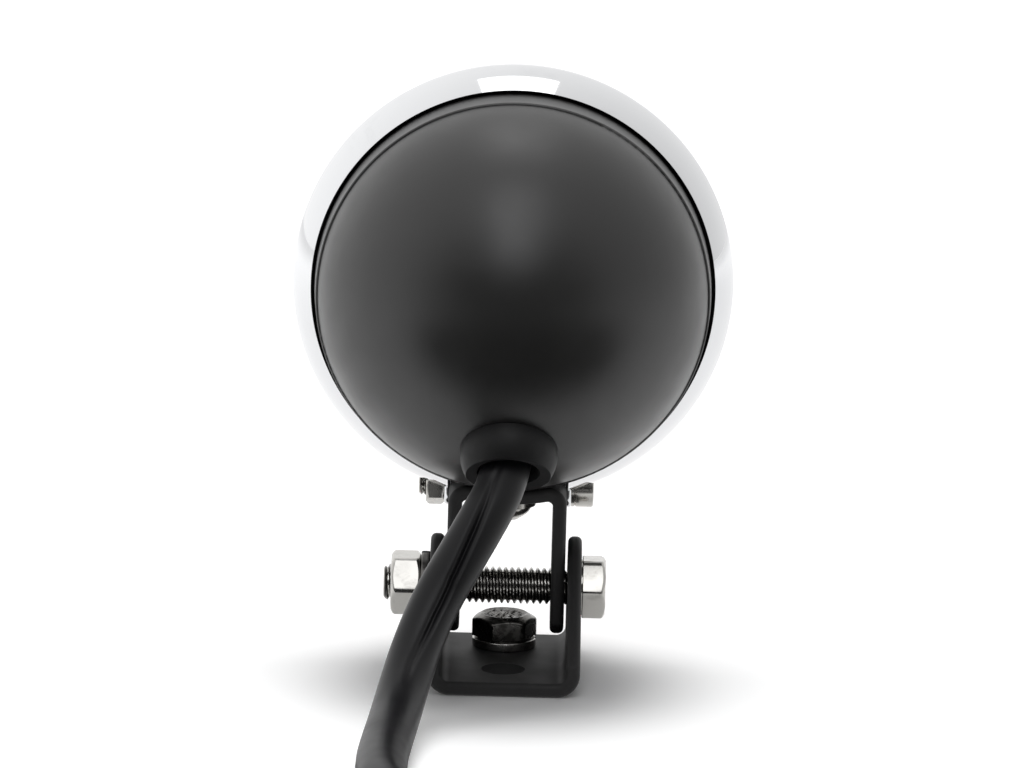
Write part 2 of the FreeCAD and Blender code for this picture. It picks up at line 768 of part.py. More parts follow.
def make_optics():
    """Lens, gasket and reflector, stacked between the shell's lip and the ring's lip."""
    flange_back = d.shell_front + d.reflector_wall + d.gasket_thick
    flange_front = d.ring_front - d.lip_thick
    opening = d.ring_lip - d.lens_gap
    apex = d.ring_front + d.lens_bulge
    inner = opening - d.lens_wall
    lens = turned("lens_form", [
        (0, apex - d.lens_wall),
        (0, apex, lens_radius(opening, d.lens_bulge), -1),
        (opening, d.ring_front),
        (opening, flange_front),
        (d.lens_edge, flange_front),
        (d.lens_edge, flange_back),
        (inner, flange_back),
        *stepped_rings(inner, apex - d.lens_wall),
    ])
    named(place(lens, lamp_at), "lens")
    web_back = d.shell_front + d.reflector_wall
    channel = d.lens_edge + d.seat_gap
    channel_outside = d.lens_edge + d.ring_sheet - d.seat_gap * 2
    gasket = turned("gasket_form", [
        (d.reflector_mouth, web_back),
        (channel, web_back),
        (channel, d.shell_front),
        (channel_outside, d.shell_front),
        (channel_outside, flange_front),
        (channel, flange_front),
        (channel, flange_back),
        (d.reflector_mouth, flange_back),
    ])
    named(place(gasket, lamp_at), "lens_gasket")
    wall = d.reflector_wall
    bottom = d.shell_front - d.reflector_depth
    neck = d.holder_radius + d.seat_gap
    bowl = d.reflector_sweep
    reflector = turned("reflector_form", [
        (neck, bottom),
        (neck + wall * 3, bottom, bowl, 1),
        (d.reflector_mouth, d.shell_front),
        (d.lens_edge, d.shell_front),
        (d.lens_edge, d.shell_front + wall),
        (d.reflector_mouth - wall, d.shell_front + wall, bowl, -1),
        (neck + wall * 2, bottom + wall),
        (neck, bottom + wall),
    ])
    named(place(reflector, lamp_at), "reflector")


LENS_RINGS = 6


def stepped_rings(inner, crown):
    """Corners down the lens's inner face, from its edge to its clear eye: a slope and a step for each ring."""
    bowl = lens_radius(inner, d.lens_bulge)
    centre = crown - bowl
    pitch = (inner - d.lens_eye) / LENS_RINGS
    corners = []
    for ring in range(LENS_RINGS):
        outer = inner - pitch * ring
        step = outer - pitch
        corners.append((outer, centre + root(bowl * bowl - outer * outer)))
        corners.append((step, centre + root(bowl * bowl - step * step) - d.lens_rib))
    eye = centre + root(bowl * bowl - d.lens_eye * d.lens_eye)
    corners.append((d.lens_eye, eye, bowl, 1))
    return corners


def lens_radius(half_width, bulge):
    """The radius of an arc from its half width and its height."""
    return (half_width * half_width + bulge * bulge) / (bulge * 2)


def make_bulb():
    """The holder behind the reflector, with its spring, contact disc and bulb."""
    bottom = d.shell_front - d.reflector_depth
    front = bottom + d.holder_ahead
    back = front - d.holder_length
    bore = d.holder_radius - d.holder_wall
    holder = turned("holder_form", [
        (0, back),
        (d.holder_radius, back),
        (d.holder_radius, bottom - d.holder_wall),
        (d.holder_flange, bottom - d.holder_wall),
        (d.holder_flange, bottom),
        (d.holder_radius, bottom),
        (d.holder_radius, front),
        (bore, front),
        (bore, back + d.holder_wall),
        (0, back + d.holder_wall),
    ])
    named(place(holder, lamp_at), "bulb_holder")
    cap_front = front + d.holder_wall
    cap_back = cap_front - d.cap_length
    cap_radius = bore - d.seat_gap
    cap = turned("cap_form", [
        (0, cap_back),
        (cap_radius, cap_back),
        (cap_radius, cap_front),
        (0, cap_front),
    ])
    named(place(cap, lamp_at), "bulb_cap")
    centre = cap_front + d.bulb_reach - d.bulb_radius
    root_height = root(d.bulb_radius * d.bulb_radius - d.bulb_neck * d.bulb_neck)
    glass = turned("glass_form", [
        (0, cap_front),
        (d.bulb_neck, cap_front),
        (d.bulb_neck, centre - root_height, d.bulb_radius, 1),
        (d.bulb_radius, centre, d.bulb_radius, 1),
        (0, centre + d.bulb_radius),
    ])
    named(place(glass, lamp_at), "bulb_glass")
    disc_back = cap_back - d.disc_thick
    disc = turned("disc_form", [
        (0, disc_back),
        (cap_radius, disc_back),
        (cap_radius, cap_back),
        (0, cap_back),
    ])
    named(place(disc, lamp_at), "contact_disc")
    make_contact_spring(back + d.holder_wall, disc_back, d.spring_radius)


def make_contact_spring(start, end, radius):
    """The coil between the holder's floor and the contact disc."""
    turns = d.spring_turns.value
    wire = d.spring_wire.value
    rise = end.value - start.value - 2 * wire
    helix = Part.makeHelix(rise / turns, rise, radius.value)
    section = Part.makeCircle(wire, FreeCAD.Vector(radius.value, 0, 0), FreeCAD.Vector(0, 1, 0))
    coil = Part.Wire(helix.Edges).makePipeShell([Part.Wire([section])], True, True)
    spring = doc.addObject("Part::Feature", "spring_coil")
    spring.Shape = coil
    at = FreeCAD.Vector(0, start.value + wire - d.ring_setback.value, d.lamp_height.value)
    spring.Placement = FreeCAD.Placement(at, TURNS["+Y"])
    named(spring, "contact_spring")


def make_grommet():
    """The rubber boot: a groove that grips the shell's hole, a flange and a slanted open mouth."""
    inside = d.dome_radius - d.shell_wall - d.seat_gap
    outside = d.dome_radius + d.seat_gap
    bore = d.cable_radius + d.cable_gap
    groove = d.grommet_groove
    inner_flange = groove + d.shell_wall
    inner_top = sphere_height(inner_flange, inside)
    rim = sphere_height(d.grommet_flange, outside) + d.grommet_rim
    mouth = outside + d.grommet_reach
    boot = turned("grommet_form", [
        (bore, inner_top - d.shell_wall),
        (inner_flange, inner_top - d.shell_wall),
        (inner_flange, inner_top, inside, 1),
        (groove, sphere_height(groove, inside)),
        (groove, sphere_height(groove, outside), outside, -1),
        (d.grommet_flange, sphere_height(d.grommet_flange, outside)),
        (d.grommet_flange, rim, d.grommet_swell, 1),
        (d.grommet_mouth, mouth),
        (d.grommet_mouth - d.grommet_lip, mouth),
        (bore, outside),
    ])
    trim_mouth(boot, mouth - d.seat_gap)
    tilt_to_outlet(boot, along_outlet(0))
    named(boot, "cable_grommet")


def trim_mouth(body, upper):
    """Cuts the boot's mouth at a slant, from the upper lip down to a shorter lower lip."""
    sketch = new_sketch(body, "mouth_trim", "YZ_Plane")
    lip = d.grommet_mouth
    flange = d.grommet_flange
    clear = upper + d.grommet_reach
    lower = upper - d.grommet_slant * (flange + lip) / (lip * 2)
    higher = upper + d.grommet_slant * (flange - lip) / (lip * 2)
    outline(sketch, [
        (lower, flange),
        (higher, -flange),
        (clear, -flange),
        (clear, flange),
    ])
    pierced(body, sketch)


def sphere_height(radius, sphere):
    """How far along the axis a sphere's surface lies, at a radius from that axis."""
    return root(sphere * sphere - radius * radius)


# The lead's route from the outlet to the connector, as points chosen by hand
LEAD_ROUTE = [
    (0.0, -34.9, 53.4),
    (-1.2, -40.6, 48.2),
    (-4.6, -46.2, 42.6),
    (-9.4, -51.0, 34.8),
    (-14.4, -54.8, 26.4),
    (-18.0, -60.4, 18.2),
    (-20.4, -68.4, 11.5),
    (-22.0, -78.2, 7.2),
    (-23.2, -90.0, 5.6),
    (-24.0, -104.0, 5.3),
    (-23.6, -120.0, 5.3),
    (-18.8, -137.0, 5.3),
    (-8.6, -151.6, 5.3),
    (5.0, -162.0, 5.3),
    (21.0, -167.0, 5.3),
    (38.0, -167.0, 5.3),
]
ARC_SHARE = 0.45


def rounded_route(points):
    """Straight runs joined by tangent arcs, each as large as its two runs allow."""
    spots = [FreeCAD.Vector(*point) for point in points]
    edges = []
    radii = []
    last = spots[0]
    for before, corner, after in zip(spots, spots[1:], spots[2:]):
        back = (before - corner).normalize()
        ahead = (after - corner).normalize()
        turn = math.pi - back.getAngle(ahead)
        reach = ARC_SHARE * min((before - corner).Length, (after - corner).Length)
        radius = reach / math.tan(turn / 2)
        radii.append(radius)
        start = corner + back * reach
        end = corner + ahead * reach
        inward = (back + ahead).normalize()
        middle = corner + inward * (radius / math.cos(turn / 2) - radius)
        edges.append(Part.LineSegment(last, start).toShape())
        edges.append(Part.Arc(start, middle, end).toShape())
        last = end
    edges.append(Part.LineSegment(last, spots[-1]).toShape())
    return Part.Wire(edges), radii


def make_cable():
    """The sleeved lead along its route, and the plain connector at its far end."""
    path, radii = rounded_route(LEAD_ROUTE)
    radius = d.cable_radius.value
    start = FreeCAD.Vector(*LEAD_ROUTE[0])
    heading = FreeCAD.Vector(*LEAD_ROUTE[1]) - start
    section = Part.Wire([Part.makeCircle(radius, start, heading)])
    tube = path.makePipeShell([section], True, False)
    sleeve = doc.addObject("Part::Feature", "sleeve_tube")
    sleeve.Shape = tube
    sleeve.Placement = FreeCAD.Placement()
    named(sleeve, "cable_sleeve")
    print("lead length %.1f, bend radii %s" % (path.Length, ["%.0f" % r for r in radii]))
    print("tube volume %.1f, section times length %.1f"
          % (tube.Volume, math.pi * radius ** 2 * path.Length))
    make_connector(*LEAD_ROUTE[-1])


def rounded_block(name, length, width, height, at):
    """A box with all its edges rounded."""
    solid = doc.addObject("Part::Fillet", name + "_soft")
    solid.Base = block(name, length, width, height, at)
    soft = d.connector_round.value
    solid.Edges = [(index, soft, soft) for index in range(1, 13)]
    return solid


def make_connector(x, y, z):
    """The plug at the lead's end: a tail round the sleeve, a housing with two cavities, and a latch."""
    shoulder = d.connector_shoulder
    wall = d.connector_wall
    width = d.connector_width
    height = d.connector_height
    tail_width = width - shoulder * 2
    tail = rounded_block("connector_tail_block", d.connector_tail * 2, tail_width, height - shoulder,
                         (x, tail_width / -2 + y, shoulder / 2))
    front = d.connector_length + x
    housing = rounded_block("connector_housing", d.connector_length - d.connector_tail, width, height,
                            (d.connector_tail + x, width / -2 + y, 0))
    latch = rounded_block("connector_latch", d.latch_length, d.latch_width, d.latch_rise * 3,
                          (front - d.connector_depth - wall, d.latch_width / -2 + y, height - d.latch_rise * 2))
    cavity_width = (width - wall * 3) / 2
    cavities = []
    for side, start in (("left", width / -2 + wall + y), ("right", wall / 2 + y)):
        cavities.append(block("cavity_" + side, d.connector_depth, cavity_width, height - wall * 2,
                              (front - d.connector_depth, start, wall)))
    body = fuse("connector_body", tail, housing, latch)
    named(cut("connector_solid", body, *cavities), "cable_connector")


make_base_bracket()
make_yoke()
make_tilt_hardware()
make_foot_hardware()
make_rear_shell()
make_trim_ring()
make_ring_clamp()
make_shell_screw()
make_optics()
make_bulb()
make_grommet()
make_cable()
doc.recompute()

for item in doc.Objects:
    if "Invalid" in item.State or "Error" in item.State:
        raise RuntimeError("%s failed: %s" % (item.Label, item.State))
for item in nodes:
    if item.Shape.isNull() or not item.Shape.isValid():
        raise RuntimeError("%s has no valid shape" % item.Label)

os.makedirs("parts", exist_ok=True)
for item in nodes:
    item.Shape.exportStep("parts/%s.step" % item.Label)
    print("%-20s %9.1f mm3  %d solid" % (item.Label, item.Shape.Volume, len(item.Shape.Solids)))
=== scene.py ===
# %% [markdown]
# # A round tail light, seen from behind
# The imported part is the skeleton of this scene: every solid is already in its place, in metres.
# The lesson keeps the solids whose form is right and gives them a finish. Bolts, nuts, washers, the
# lead and the chrome ring get new surfaces, each worked out as one array of points.

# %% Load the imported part
import json
import math

import bmesh
import bpy
import numpy as np
from mathutils import Matrix, Vector


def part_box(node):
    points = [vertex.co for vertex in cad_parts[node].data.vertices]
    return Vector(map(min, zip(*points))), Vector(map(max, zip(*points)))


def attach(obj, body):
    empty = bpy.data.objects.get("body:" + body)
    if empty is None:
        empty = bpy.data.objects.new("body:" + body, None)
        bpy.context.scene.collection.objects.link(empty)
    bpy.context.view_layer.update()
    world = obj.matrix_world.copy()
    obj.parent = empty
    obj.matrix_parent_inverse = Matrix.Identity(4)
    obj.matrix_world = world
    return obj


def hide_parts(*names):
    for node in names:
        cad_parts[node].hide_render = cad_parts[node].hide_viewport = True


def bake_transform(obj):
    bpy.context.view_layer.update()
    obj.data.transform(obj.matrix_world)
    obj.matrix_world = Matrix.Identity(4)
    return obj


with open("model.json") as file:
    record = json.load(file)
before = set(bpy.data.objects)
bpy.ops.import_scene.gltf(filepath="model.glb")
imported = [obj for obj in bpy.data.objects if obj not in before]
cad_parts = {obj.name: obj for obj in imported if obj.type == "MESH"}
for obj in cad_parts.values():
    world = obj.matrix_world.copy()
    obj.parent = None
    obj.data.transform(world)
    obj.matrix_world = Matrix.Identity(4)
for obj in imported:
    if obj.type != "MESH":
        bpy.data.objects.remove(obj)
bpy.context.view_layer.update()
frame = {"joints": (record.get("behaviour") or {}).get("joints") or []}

MM = 0.001
scene = bpy.context.scene

# %% [markdown]
# ## Camera
# The picture was taken with a long lens from a little above the lamp, and it leans by under two
# degrees. Four plain numbers say that: how far, how high, how much lean, and the focal length.
# A camera looks down its own minus Z, so it is first turned up to look along +Y.

# %% Camera
AIM = Vector((0.3, 0.0, 61.58)) * MM
CAMERA_DISTANCE = 1.2
CAMERA_RISE = math.radians(11.735)
CAMERA_LEAN = math.radians(1.5)
FOCAL_LENGTH = 193.84
SENSOR_WIDTH = 36.0
FARTHEST_SEEN = 20.0

camera_data = bpy.data.cameras.new("camera")
camera_data.sensor_fit = "HORIZONTAL"
camera_data.sensor_width = SENSOR_WIDTH
camera_data.lens = FOCAL_LENGTH
camera_data.clip_end = FARTHEST_SEEN
camera = bpy.data.objects.new("camera", camera_data)
scene.collection.objects.link(camera)
stand_off = Vector((0.0, -math.cos(CAMERA_RISE), math.sin(CAMERA_RISE))) * CAMERA_DISTANCE
camera.matrix_world = (
    Matrix.Translation(AIM + stand_off)
    @ Matrix.Rotation(math.pi / 2 - CAMERA_RISE, 4, "X")
    @ Matrix.Rotation(CAMERA_LEAN, 4, "Z")
)
scene.camera = camera
print("camera at", [round(v, 3) for v in camera.location])

# %% [markdown]
# ## One helper for every new surface
# A bolt, a tube and a ring are all grids: rows run along the piece and columns go round it. The
# helper joins each point to its neighbours. Where a whole row shrinks to a point, the doubles are
# merged, so poles are closed. Faces are then turned outwards, and edges sharper than a chosen
# angle stay crisp.

# %% From a grid of points to a mesh
SAME_POINT = 1e-7


def skin(name, grid, loop=False, capped=False, crisp=35.0):
    """
    A mesh from points in rows by columns by three. Each quad joins a point to the next column and
    the next row. Columns close into rings; rows close too when loop is set, and capped closes each
    end ring with a strip of quads that joins its first half to its second.
    """
    rows, columns = grid.shape[:2]
    row = np.arange(rows if loop else rows - 1)[:, None] * columns
    after = (row + columns) % (rows * columns)
    here = np.arange(columns)[None, :]
    beside = (here + 1) % columns
    quads = np.stack([row + here, row + beside, after + beside, after + here], axis=-1)
    faces = quads.reshape(-1, 4).tolist()
    if capped:
        here = np.arange(columns // 2 - 1)
        strip = np.stack([here, here + 1, columns - 2 - here, columns - 1 - here], axis=-1)
        faces += strip.tolist() + (strip + (rows - 1) * columns).tolist()
    mesh = bpy.data.meshes.new(name)
    mesh.from_pydata(grid.reshape(-1, 3), [], faces)
    work = bmesh.new()
    work.from_mesh(mesh)
    bmesh.ops.remove_doubles(work, verts=work.verts, dist=SAME_POINT)
    bmesh.ops.recalc_face_normals(work, faces=work.faces)
    work.to_mesh(mesh)
    work.free()
    mesh.shade_smooth()
    mesh.set_sharp_from_angle(angle=math.radians(crisp))
    piece = bpy.data.objects.new(name, mesh)
    scene.collection.objects.link(piece)
    print("%s: %d faces" % (name, len(mesh.polygons)))
    return piece


def stand(local, at, along, across):
    """
    Points (x, y, z) of a piece, put into the part's frame: its own z runs along one direction, its
    own x along another, and its own y is the cross product of the two.
    """
    along = np.array(along, float)
    across = np.array(across, float)
    turn = np.stack([across, np.cross(along, across), along])
    return local @ turn + np.array(at, float)


# %% [markdown]
# ## The lead
# A thick black sleeve leaves the rubber boot, falls to the left and lies on the ground. Its line is
# a NURBS curve with a few given points, which gives the soft sweep of a stiff sleeve.
# The sleeve is a profile carried along that line: nearly round, a little flat, with one long crease
# where the wires inside don't fill it. A plain round bevel couldn't have that crease.

# %% The lead's line
LEAD_ROUTE = [
    (0.0, -34.9, 53.4), (-1.2, -40.6, 48.2), (-4.6, -46.2, 42.6), (-9.4, -51.0, 34.8),
    (-14.4, -54.8, 26.4), (-18.0, -60.4, 18.2), (-20.4, -68.4, 11.5), (-22.0, -78.2, 7.2),
    (-23.2, -90.0, 5.6), (-24.0, -104.0, 5.3), (-23.6, -120.0, 5.3), (-18.8, -137.0, 5.3),
    (-8.6, -151.6, 5.3), (5.0, -162.0, 5.3), (21.0, -167.0, 5.3), (38.0, -167.0, 5.3),
]
LEAD_RADIUS = 5.1 * MM

line_data = bpy.data.curves.new("lead_line", "CURVE")
line_data.dimensions = "3D"
line_data.resolution_u = 12
spline = line_data.splines.new("NURBS")
spline.points.add(len(LEAD_ROUTE) - 1)
route = np.ones((len(LEAD_ROUTE), 4))
route[:, :3] = np.array(LEAD_ROUTE) * MM
spline.points.foreach_set("co", route.ravel())
spline.order_u = 3
spline.use_endpoint_u = True
line = bpy.data.objects.new("lead_line", line_data)
scene.collection.objects.link(line)
line_mesh = bpy.data.meshes.new_from_object(line)
lead_points = np.empty(len(line_mesh.vertices) * 3)
line_mesh.vertices.foreach_get("co", lead_points)
lead_points = lead_points.reshape(-1, 3)
bpy.data.objects.remove(line)
lead_steps = np.linalg.norm(np.diff(lead_points, axis=0), axis=1)
lead_along = np.concatenate([[0.0], np.cumsum(lead_steps)])
print("lead: %d points, %.1f mm long" % (len(lead_points), lead_along[-1] / MM))

# %% The sleeve round that line
CREASE_SHARE = [0.05, 0.077, 0.107, 0.139, 0.158, 0.175, 0.195, 0.227, 0.259, 0.283, 0.4]
CREASE_ANGLE = [1.64, 1.94, 2.24, 2.49, 2.63, 2.66, 2.59, 2.37, 2.12, 1.95, 1.7]
CREASE_DEPTH = 1.35 * MM
CREASE_WIDTH = 0.17
CREASE_STARTS, CREASE_GROWS = 0.02, 0.09
CREASE_ENDS, CREASE_SHRINKS = 0.33, 0.12
SLEEVE_COLUMNS = 64
CROWDING = 0.75
FLATNESS = 0.03


def sleeve(points, along, radius):
    """
    A tube along points. The frame at each point is the tangent, the level direction at right angles
    to it, and their cross product. Columns are counted from the crease, where they crowd together.
    The radius is the plain one, less 3 % of cos 2a at the angle a from the crease, less a bell-shaped
    dip at the crease, which fades in after the boot and out before the ground. Beside the points it
    gives the same tube laid out straight, for patterns that follow the sleeve.
    """
    tangent = np.gradient(points, axis=0)
    tangent /= np.linalg.norm(tangent, axis=1)[:, None]
    level = np.cross(tangent, (0.0, 0.0, 1.0))
    level /= np.linalg.norm(level, axis=1)[:, None]
    upward = np.cross(level, tangent)
    even = np.linspace(-np.pi, np.pi, SLEEVE_COLUMNS, endpoint=False)[None, :]
    away = even - CROWDING * np.sin(even)
    share = (along / along[-1])[:, None]
    angle = np.interp(share, CREASE_SHARE, CREASE_ANGLE) + away
    fade = np.clip((share - CREASE_STARTS) / CREASE_GROWS, 0, 1)
    fade = fade * np.clip((CREASE_ENDS - share) / CREASE_SHRINKS, 0, 1)
    dip = CREASE_DEPTH * np.exp(-(away / CREASE_WIDTH) ** 2) * fade
    size = radius * (1 - FLATNESS * np.cos(2 * away)) - dip
    sideways = level[:, None, :] * np.cos(angle)[..., None]
    ring = sideways + upward[:, None, :] * np.sin(angle)[..., None]
    flat = np.broadcast_arrays(size * np.cos(away), size * np.sin(away), along[:, None])
    return points[:, None, :] + ring * size[..., None], np.stack(flat, -1)


lead_grid, lead_straight = sleeve(lead_points, lead_along, LEAD_RADIUS)
lead = skin("lead_sleeve", lead_grid, capped=True, crisp=60.0)
unrolled = lead.data.attributes.new("unrolled", "FLOAT_VECTOR", "POINT")
unrolled.data.foreach_set("vector", lead_straight.astype(np.float32).ravel())
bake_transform(lead)
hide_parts("cable_sleeve")

# %% [markdown]
# ## Ground and light
# The lamp stands on a white ground in a white room. A soft box overhead draws the shadow and isn't
# seen in reflections. A tall box over the camera is the dome's long highlight, and one beyond the
# lamp, which only reflections see, is the white patch on top of the ring. The room is dark behind
# the camera, and a dark oval card lies before the lamp, so the dome's lower half stays dark. Only
# reflections see the card, and its edge is soft, so that the chrome shows no hard border.

# %% Ground
FLOOR_SIDE = (-4.0, 4.0)
CARD_X, CARD_Y = (-0.55, 0.65), (-1.35, -0.05)
CARD_LIFT = 1.0 * MM


def level_sheet(name, x, y, z):
    """One level rectangle between two x and two y values, at the height z."""
    mesh = bpy.data.meshes.new(name)
    corners = [(x[0], y[0], z), (x[1], y[0], z), (x[1], y[1], z), (x[0], y[1], z)]
    mesh.from_pydata(corners, [], [(0, 1, 2, 3)])
    sheet = bpy.data.objects.new(name, mesh)
    scene.collection.objects.link(sheet)
    return sheet


floor = level_sheet("floor", FLOOR_SIDE, FLOOR_SIDE, 0.0)
card = level_sheet("dark_card", CARD_X, CARD_Y, CARD_LIFT)
card.visible_camera = False
card.visible_diffuse = False
card.visible_transmission = False
card.visible_shadow = False
print("floor: %.0f m across, with a card that only reflections see" % (FLOOR_SIDE[1] - FLOOR_SIDE[0]))

# %% Soft lights
def soft_light(name, at, aim, size, power):
    """A rectangular area light that faces a point."""
    data = bpy.data.lights.new(name, "AREA")
    data.shape = "RECTANGLE"
    data.size, data.size_y = size
    data.energy = power
    light = bpy.data.objects.new(name, data)
    scene.collection.objects.link(light)
    direction = Vector(aim) - Vector(at)
    light.location = at
    light.rotation_euler = direction.to_track_quat("-Z", "Y").to_euler()
    return light


middle = (0.0, 0.0, 0.07)
overhead = soft_light("overhead", (0.0, 0.22, 1.5), middle, (0.8, 0.7), 14.8)
overhead.visible_glossy = False
front_box = soft_light("front_box", (0.0, -0.79, 0.94), middle, (0.5, 1.02), 3.05)
front_box.data.color = (0.98, 0.985, 1.0)
back_box = soft_light("back_box", (0.0, 0.373, 1.266), middle, (0.52, 0.55), 1.3)
back_box.visible_diffuse = False

# %% The room: white all round, dark behind the camera
world = bpy.data.worlds.new("studio")
world.use_nodes = True
room = world.node_tree
looking = room.nodes.new("ShaderNodeTexCoord")


def towards(direction, ends, smooth):
    """A brightness by how much a ray looks in a direction: (from, to) in cosines, then in brightness."""
    cosine = room.nodes.new("ShaderNodeVectorMath")
    cosine.operation = "DOT_PRODUCT"
    cosine.inputs[1].default_value = Vector(direction).normalized()
    level = room.nodes.new("ShaderNodeMapRange")
    level.interpolation_type = "SMOOTHSTEP" if smooth else "LINEAR"
    for socket, value in zip(("From Min", "From Max", "To Min", "To Max"), ends):
        level.inputs[socket].default_value = value
    room.links.new(looking.outputs["Generated"], cosine.inputs[0])
    room.links.new(cosine.outputs["Value"], level.inputs["Value"])
    return level.outputs["Result"]


def joined(tree, operation, first, second):
    """The sum or the product of two sockets."""
    node = tree.nodes.new("ShaderNodeMath")
    node.operation = operation
    tree.links.new(first, node.inputs[0])
    tree.links.new(second, node.inputs[1])
    return node.outputs["Value"]


DIFFUSE_SHARE = 0.2
dark_side = towards((0.0, -0.99, -0.12), (0.32, 0.97, 1.0, 0.015), True)
window_side = towards((0.75, -0.66, 0.0), (-1.0, 1.0, 1.3, 0.72), False)
ray = room.nodes.new("ShaderNodeLightPath")
dimmed = room.nodes.new("ShaderNodeMapRange")
dimmed.inputs["To Min"].default_value = 1.0
dimmed.inputs["To Max"].default_value = DIFFUSE_SHARE
room.links.new(ray.outputs["Is Diffuse Ray"], dimmed.inputs["Value"])
both_sides = joined(room, "MULTIPLY", dark_side, window_side)
strength = joined(room, "MULTIPLY", both_sides, dimmed.outputs["Result"])
room.nodes["Background"].inputs["Color"].default_value = (1.0, 1.0, 1.0, 1.0)
room.links.new(strength, room.nodes["Background"].inputs["Strength"])
scene.world = world
scene.view_settings.view_transform = "Standard"
print("room: brighter beyond the lamp and to the left, dark behind the camera")

# %% [markdown]
# ## Fine effects that several finishes share
# Paint, rubber and plated steel all have a fine grain, and all carry marks of handling. Each effect
# is one node group with named sockets, so a finish only sets its own scale and amount.

# %% Helpers for nodes
def add(tree, kind, values=None, **settings):
    """Adds a node, sets its properties, and sets the plain values of its inputs."""
    node = tree.nodes.new(kind)
    for name, value in settings.items():
        setattr(node, name, value)
    for name, value in (values or {}).items():
        node.inputs[name].default_value = value
    return node


def wire(tree, *ends):
    """Joins outputs to inputs, given as node, output, node, input in turn."""
    for start, out, end, into in zip(ends[0::4], ends[1::4], ends[2::4], ends[3::4]):
        tree.links.new(start.outputs[out], end.inputs[into])


def new_group(name, inputs, outputs):
    """An empty node group with float and vector sockets of the given names."""
    tree = bpy.data.node_groups.new(name, "ShaderNodeTree")
    for label, kind, value in inputs:
        socket = tree.interface.new_socket(label, in_out="INPUT", socket_type=kind)
        if value is not None:
            socket.default_value = value
    for label in outputs:
        tree.interface.new_socket(label, in_out="OUTPUT", socket_type="NodeSocketFloat")
    return tree, tree.nodes.new("NodeGroupInput"), tree.nodes.new("NodeGroupOutput")


print("helpers for nodes:", [helper.__name__ for helper in (add, wire, new_group)])

# %% Grain and marks of handling
MM_PER_METRE = 1000.0
BROADER = 14.0


def noise_scale(tree, source):
    """A noise scale per metre, from a group's Size in millimetres."""
    per_metre = add(tree, "ShaderNodeMath", operation="DIVIDE")
    per_metre.inputs[0].default_value = MM_PER_METRE
    tree.links.new(source.outputs["Size"], per_metre.inputs[1])
    return per_metre.outputs["Value"]


def make_fine_grain():
    """Noise of a given size in millimetres: a height, and a broader patchiness."""
    tree, source, result = new_group(
        "fine_grain",
        [("Vector", "NodeSocketVector", None), ("Size", "NodeSocketFloat", 1.0)],
        ["Height", "Patches"],
    )
    per_metre = noise_scale(tree, source)
    broad = add(tree, "ShaderNodeMath", operation="DIVIDE")
    broad.inputs[1].default_value = BROADER
    fine = add(tree, "ShaderNodeTexNoise", {"Detail": 3.0, "Roughness": 0.55})
    wide = add(tree, "ShaderNodeTexNoise", {"Detail": 2.0, "Roughness": 0.5})
    tree.links.new(per_metre, broad.inputs[0])
    tree.links.new(per_metre, fine.inputs["Scale"])
    tree.links.new(broad.outputs["Value"], wide.inputs["Scale"])
    wire(tree, source, "Vector", fine, "Vector", source, "Vector", wide, "Vector")
    wire(tree, fine, "Fac", result, "Height", wide, "Fac", result, "Patches")
    return tree


def make_handling():
    """Soft rubbed patches with broken edges: wide noise pushed through a narrow step."""
    tree, source, result = new_group(
        "handling",
        [("Vector", "NodeSocketVector", None), ("Size", "NodeSocketFloat", 10.0),
         ("Start", "NodeSocketFloat", 0.55), ("End", "NodeSocketFloat", 0.75)],
        ["Mask"],
    )
    noise = add(tree, "ShaderNodeTexNoise", {"Detail": 6.0, "Roughness": 0.65, "Distortion": 0.4})
    step = add(tree, "ShaderNodeMapRange", interpolation_type="SMOOTHSTEP")
    tree.links.new(noise_scale(tree, source), noise.inputs["Scale"])
    wire(tree, source, "Vector", noise, "Vector", noise, "Fac", step, "Value",
         source, "Start", step, "From Min", source, "End", step, "From Max",
         step, "Result", result, "Mask")
    return tree


fine_grain = make_fine_grain()
handling = make_handling()
print("groups:", fine_grain.name, handling.name)

# %% Tool lines and a thread's flanks
def make_tool_lines():
    """Fine lines left by a tool: noise squeezed along one axis by a chosen stretch."""
    tree, source, result = new_group(
        "tool_lines",
        [("Vector", "NodeSocketVector", None), ("Stretch", "NodeSocketVector", (1.0, 1.0, 1.0))],
        ["Height"],
    )
    scale = add(tree, "ShaderNodeVectorMath", operation="MULTIPLY")
    noise = add(tree, "ShaderNodeTexNoise", {"Scale": MM_PER_METRE, "Detail": 2.0})
    tree.links.new(source.outputs["Vector"], scale.inputs[0])
    tree.links.new(source.outputs["Stretch"], scale.inputs[1])
    wire(tree, scale, "Vector", noise, "Vector", noise, "Fac", result, "Height")
    return tree


